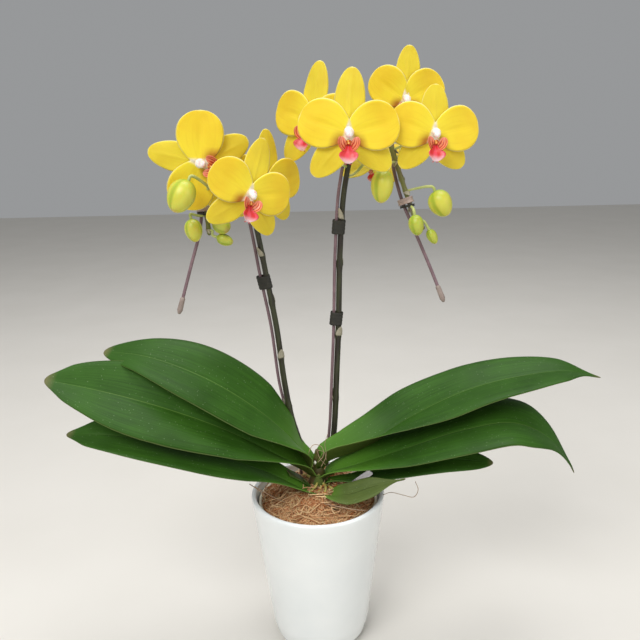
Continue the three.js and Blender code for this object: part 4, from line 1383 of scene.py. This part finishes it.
def outline(v, foot, widest, rise, tip):
    """A petal's outline: a claw of width foot, 1 where it is widest, round at its tip."""
    up = foot + (1 - foot) * np.sin(np.clip(v / widest, 0, 1) * math.pi / 2) ** rise
    down = 1 - np.clip((v - widest) / (1 - widest), 0, 1) ** tip
    return up * np.sqrt(np.clip(down, 0.0004, 1))


def petal_width(v):
    """Share of a petal's full width along it: a narrow claw, then broad and round."""
    return outline(v, 0.16, 0.56, 0.85, 2.3)


def sepal_width(v):
    """Share of a sepal's full width along it: an ellipse with a blunt tip."""
    return outline(v, 0.3, 0.52, 1.0, 1.7)


def floral_blade(angle, reach, width, width_at, lift, cup, seed, crease):
    """One petal or sepal in its flower's frame, in mm: X right, Y up, Z to the viewer."""
    a = math.radians(angle)
    wave = np.random.default_rng(seed).uniform(0, 2 * math.pi, 3)

    def surface(u, v):
        r = BLADE_START + (reach - BLADE_START) * v
        q = u * width_at(v)
        x = q * width / 2
        z = lift - 3.5 * (r / FLOWER_REACH) ** 2 + cup * q * q * v
        z = z + 0.9 * np.sin(3.1 * q + 5 * v + wave[0]) * smooth(v * 1.5) * (0.25 + 0.75 * q * q)
        z = z + 0.5 * np.sin(9 * v + wave[1]) * np.abs(q) ** 3
        z = z - crease * np.exp(-((q / 0.13) ** 2)) * np.sin(math.pi * np.clip(v * 1.1, 0, 1))
        bend = 1.2 * np.sin(v * 2.4 + wave[2]) * v
        x = x + bend
        return np.stack(
            [r * math.cos(a) + x * math.sin(a), r * math.sin(a) - x * math.cos(a), z], -1
        )

    return blade(surface, 28, 30, 0.8)


def lobe(spine, width, width_at, facing, curl, thickness=0.7, steps=16):
    """A small fleshy blade on its own spine, in mm, that curls towards its facing side."""
    line = route(spine, 200) / MM
    along = unit(np.gradient(line, axis=0))
    sideways = unit(np.cross(along, facing))
    up = np.cross(sideways, along)
    share = np.linspace(0, 1, 200)

    def surface(u, v):
        at = [
            np.stack(
                [np.interp(v, share, a[:, i]) for i in range(3)], -1
            ) for a in (line, sideways, up)
        ]
        half = width / 2 * width_at(v)
        bend = curl * u
        along_edge = (half * np.sin(bend) / curl)[..., None]
        lifted = (half * (1 - np.cos(bend)) / curl)[..., None]
        return at[0] + at[1] * along_edge + at[2] * lifted

    return blade(surface, steps, steps, thickness)


def arrow_width(v):
    """The middle lobe's outline: a waist, two shoulders and a narrow tip."""
    return (0.3 + 0.7 * np.exp(-(((v - 0.7) / 0.2) ** 2))) * outline(v, 1, 0.76, 1, 1.6)


def lobe_width(v):
    """The side lobe's outline: broad and round."""
    return outline(v, 0.45, 0.5, 1, 2)


def scaled(skin, matrix, size=1.0):
    """A skin made in mm in a flower's frame, put in its place in metres."""
    points = skin["points"] * size * MM
    points = points @ np.array(matrix.to_3x3()).T + np.array(matrix.translation)
    return {**skin, "points": points}


def stalk_line(side, z, hanging, end, arrival, stretch, via):
    """The middle of a flower's or bud's stalk, from its spike to what it carries."""
    point, along, _ = place_on(side, z, hanging)
    last = end - arrival * stretch
    following = np.array(via) * MM if via else last
    out = following - point
    out = unit(out - along * np.dot(out, along))
    start = point + out * 2.0 * MM
    second = (start + out * 4 * MM) * 0.88 + following * 0.12
    points = [start, second] + ([following] if via else []) + [last, end]
    return route([p / MM for p in points], 40)


for number, flower in enumerate(FLOWERS, 1):
    side, at, turn, tilt, roll, size, joint, hanging, via = flower[:9]
    raised, upper, lower, twist = flower[9:]
    turn, tilt = math.radians(turn), math.radians(tilt)
    out = Vector(
        (math.sin(turn) * math.cos(tilt), -math.cos(turn) * math.cos(tilt), math.sin(tilt))
    )
    up = Vector((-math.sin(turn) * math.sin(tilt), math.cos(turn) * math.sin(tilt), math.cos(tilt)))
    matrix = Matrix((up.cross(out), up, out)).transposed().to_4x4()
    rolled = Matrix.Rotation(math.radians(roll), 4, "Z")
    matrix = Matrix.Translation(Vector(at) * MM) @ matrix @ rolled
    node = f"flower_{side}_{number}"
    name = f"{side}_flower_{number}"
    seed = 100 * number

    sepals = []
    for i, (angle, reach) in enumerate(((90, upper), (twist - 44, lower), (twist + 226, lower))):
        made = floral_blade(angle, reach, 25, sepal_width, -1.4, -1.0, seed + i, -0.5)
        sepals.append((scaled(made, matrix, size), sepal_skin))
    end = np.array(at) * MM - np.array(out) * 0.9 * MM
    stalk = stalk_line(side, joint, hanging, end, np.array(out), 12 * size * MM, via)
    thick = np.linspace(1.05, 1.75, 40) * MM
    sepals.append((tube(stalk, thick, 10), stalk_skin))
    piece(f"{name}_sepal_whorl", sepals, f"{node}_sepals")

    petals = []
    for i, angle in enumerate((12 + raised, 168 - raised)):
        made = floral_blade(
            angle, FLOWER_REACH - 1.5, 39, petal_width, 1.0, 2.0, seed + 10 + i, 0.7
        )
        if i == 1:
            made["uv"] = made["uv"] * (-1, 1) + (1, 0)
        petals.append((scaled(made, matrix, size), petal_skin))
    piece(f"{name}_petal_pair", petals, f"{node}_petals")

    line = route([(0, 1.0, 0.3), (0, 1.6, 3.5), (0, 0.8, 6.8), (0, -1.2, 9.4)], 22) / MM
    share = np.linspace(0, 1, 22)
    radii = 3.0 + 1.1 * smooth(share * 1.3) - 0.7 * smooth(share * 3 - 2)
    parts = [(tube(line, radii, 20, 0.85), column_skin)]
    cap = route([(0, -0.9, 9.0), (0, -2.6, 9.9)], 8) / MM
    parts.append((tube(cap, [1.8, 2.2, 2.4, 2.4, 2.2, 1.9, 1.5, 1.0], 16), column_skin))
    for s in (-1, 1):
        spine = [
            (s * 0.8, -13.0, 5.5), (s * 3.4, -12.6, 8.5), (s * 6.0, -9.0, 10.6),
            (s * 6.4, -3.2, 10.4)
        ]
        parts.append((lobe(spine, 10.5, lobe_width, (-s * 0.45, 0.35, 0.8), 1.0), side_lobe_skin))
    spine = [(0, -7.5, 3.5), (0, -12.5, 8.5), (0, -17.5, 12.5), (0, -21.5, 13.2), (0, -24, 11.5)]
    parts.append((lobe(spine, 17, arrow_width, (0, 0.6, 0.8), 0.75, 1.0), middle_lobe_skin))
    bead = route([(0, -7.2, 7.6), (0, -8.4, 9.4)], 8) / MM
    parts.append((tube(bead, [1.4, 2.0, 2.3, 2.3, 2.0, 1.7, 1.2, 0.7], 12), callus_skin))
    for s in (-1, 1):
        hook = route(
            [(s * 0.5, -23.3, 11.8), (s * 2.0, -24.6, 11.2), (s * 3.4, -23.8, 12.2)], 14
        ) / MM
        parts.append((tube(hook, np.linspace(0.4, 0.14, 14), 6), middle_lobe_skin))
    parts = [(scaled(skin, matrix, size), material) for skin, material in parts]
    piece(f"{name}_lip_and_column", parts, f"{node}_lip")

# --------------------------------------------------------------------------------- buds
# Closed flower buds on short stalks, oldest first. Three sepals meet along sunken seams;
# the skin is yellow on the big ones and green on the young ones.
BUDS = [
    ("left", (-103, -64, 461), (-0.45, -0.2, -0.85), 28, 22, 460, (-84, -51, 468)),
    ("left", (-101, -31, 429), (0.15, 0, -1), 20, 15, 441, None),
    ("left", (-77, -30, 433), (0.5, -0.5, -0.4), 18, 15, 440, None),
    ("left", (-75, -29, 420), (0.9, -0.1, -0.35), 15, 10, 428, None),
    ("right", (61, -34, 463), (-0.1, 0, -1), 28, 19, 482, None),
    ("right", (112, -27, 447), (0.45, 0, -0.85), 24, 20, 457, None),
    ("right", (90, -36, 430), (0.2, 0, -1), 18, 13, 444, None),
    ("right", (105, -29, 419), (0.45, 0, -0.85), 14, 9, 430, None),
]


def bud_material(name, ground, flank, tip):
    """Bud skin: smooth and waxy, greener at its foot and along its seams."""
    made, tree, shader = start_material(
        name, {"Roughness": 0.4, "Subsurface Weight": 0.2, "Subsurface Scale": 0.003}
    )
    grown = add_node(tree, "ShaderNodeUVMap", {"uv_map": "grown"})
    split = add_node(tree, "ShaderNodeSeparateXYZ", {0: grown})
    place = add_node(tree, "ShaderNodeTexCoord").outputs["Object"]
    cloud = add_node(tree, "ShaderNodeTexNoise", {"Scale": 130, "Detail": 3, "Vector": place})
    body = add_node(
        tree, "ShaderNodeMix", {"data_type": "RGBA", 6: linear(flank), 7: linear(ground), 0: cloud}
    )
    seam = add_node(
        tree, "ShaderNodeMath", {"operation": "MULTIPLY", 1: 6 * math.pi, 0: split.outputs["X"]}
    )
    seam = add_node(tree, "ShaderNodeMath", {"operation": "COSINE", 0: seam})
    green = add_node(
        tree, "ShaderNodeMapRange", {"From Min": 0.6, "From Max": 1.0, "To Max": 0.7, "Value": seam}
    )
    foot = add_node(
        tree, "ShaderNodeMapRange",
        {"From Min": 0.4, "From Max": 0.05, "To Max": 0.7, "Value": split.outputs["Y"]},
    )
    end = add_node(
        tree, "ShaderNodeMapRange",
        {"From Min": 0.82, "From Max": 1.0, "To Max": 0.7, "Value": split.outputs["Y"]},
    )
    for share, laid in ((green, "8FA628"), (foot, "93AE2A"), (end, tip)):
        body = add_node(
            tree, "ShaderNodeMix", {"data_type": "RGBA", 7: linear(laid), 0: share, 6: body}
        )
    bump = add_node(tree, "ShaderNodeBump", {"Strength": 0.2, "Distance": 0.0005, "Height": cloud})
    feed(tree, shader, {"Base Color": body, "Normal": bump})
    return made


ripe_bud_skin = bud_material("ripe_bud_skin", "C6C23A", "D2CF50", "C89C62")
young_bud_skin = bud_material("young_bud_skin", "A9B238", "BEC24C", "B8935C")

for number, (side, at, along, length, width, joint, via) in enumerate(BUDS):
    direction = unit(np.array(along, float))
    middle = np.array(at) * MM
    first = unit(np.cross(direction, (0.2, 0.9, 0.1)))
    second = np.cross(direction, first)
    angle = np.arange(48) / 48 * 2 * math.pi
    rings = []
    for t in np.linspace(0.035, 0.965, 26):
        a = t * math.pi
        radius = width / 2 * math.sin(a) * (1 + 0.12 * math.cos(a)) * MM
        seam = np.exp(-((((angle * 3 / (2 * math.pi)) % 1 + 0.5) % 1 - 0.5) / 0.07) ** 2)
        lobes = 1 + 0.035 * np.cos(3 * angle + math.pi) - 0.05 * seam * math.sin(a)
        spread = radius * lobes
        rise = -length / 2 * math.cos(a) * MM
        rings.append(
            middle
            + direction * rise
            + spread[:, None] * (np.cos(angle)[:, None] * first + np.sin(angle)[:, None] * second)
        )
    egg = closed_rings(
        rings, middle - direction * length / 2 * MM, middle + direction * length / 2 * MM
    )
    foot = middle - direction * (length / 2 - 1) * MM
    stalk = stalk_line(side, joint, True, foot, direction, 5 * MM, via)
    skin = ripe_bud_skin if length > 19 else young_bud_skin
    parts = [(egg, skin), (tube(stalk, np.linspace(0.95, 1.35, 40) * MM, 10), stalk_skin)]
    piece(f"{side}_bud_{number % 4 + 1}", parts, f"bud_{side}_{number % 4 + 1}")

# --------------------------------------------------------------------- floor and lights
# A pale studio table top, a large soft light from the upper left, a weaker one from the
# right, and a soft overhead light.
floor_paint, tree, shader = start_material("pale_matt_paint", {"Roughness": 0.8})
place = add_node(tree, "ShaderNodeTexCoord").outputs["Object"]
wash = add_node(tree, "ShaderNodeTexNoise", {"Scale": 6, "Detail": 3, "Vector": place})
tone = add_node(
    tree, "ShaderNodeMix", {"data_type": "RGBA", 6: linear("D6D2CA"), 7: linear("DEDAD3"), 0: wash}
)
feed(tree, shader, {"Base Color": tone})
floor_mesh = bpy.data.meshes.new("floor")
floor_mesh.from_pydata([(-4, -4, 0), (4, -4, 0), (4, 4, 0), (-4, 4, 0)], [], [(0, 1, 2, 3)])
floor_mesh.materials.append(floor_paint)
floor = bpy.data.objects.new("floor", floor_mesh)
bpy.context.scene.collection.objects.link(floor)

for name, spot, size, power in (
    ("key_light", (-0.9, -1.5, 1.9), 1.3, 42),
    ("fill_light", (1.5, -1.2, 0.9), 1.4, 10),
    ("top_light", (0.1, 0.3, 2.0), 1.2, 22),
):
    lamp = bpy.data.lights.new(name, "AREA")
    lamp.size = size
    lamp.energy = power
    made = bpy.data.objects.new(name, lamp)
    made.location = spot
    made.rotation_euler = (Vector((0, 0, 0.3)) - Vector(spot)).to_track_quat("-Z", "Y").to_euler()
    bpy.context.scene.collection.objects.link(made)

world = bpy.data.worlds.new("studio")
world.use_nodes = True
world.node_tree.nodes["Background"].inputs["Color"].default_value = linear("D8DADC")
world.node_tree.nodes["Background"].inputs["Strength"].default_value = 0.45
bpy.context.scene.world = world
bpy.context.scene.view_settings.view_transform = "Standard"
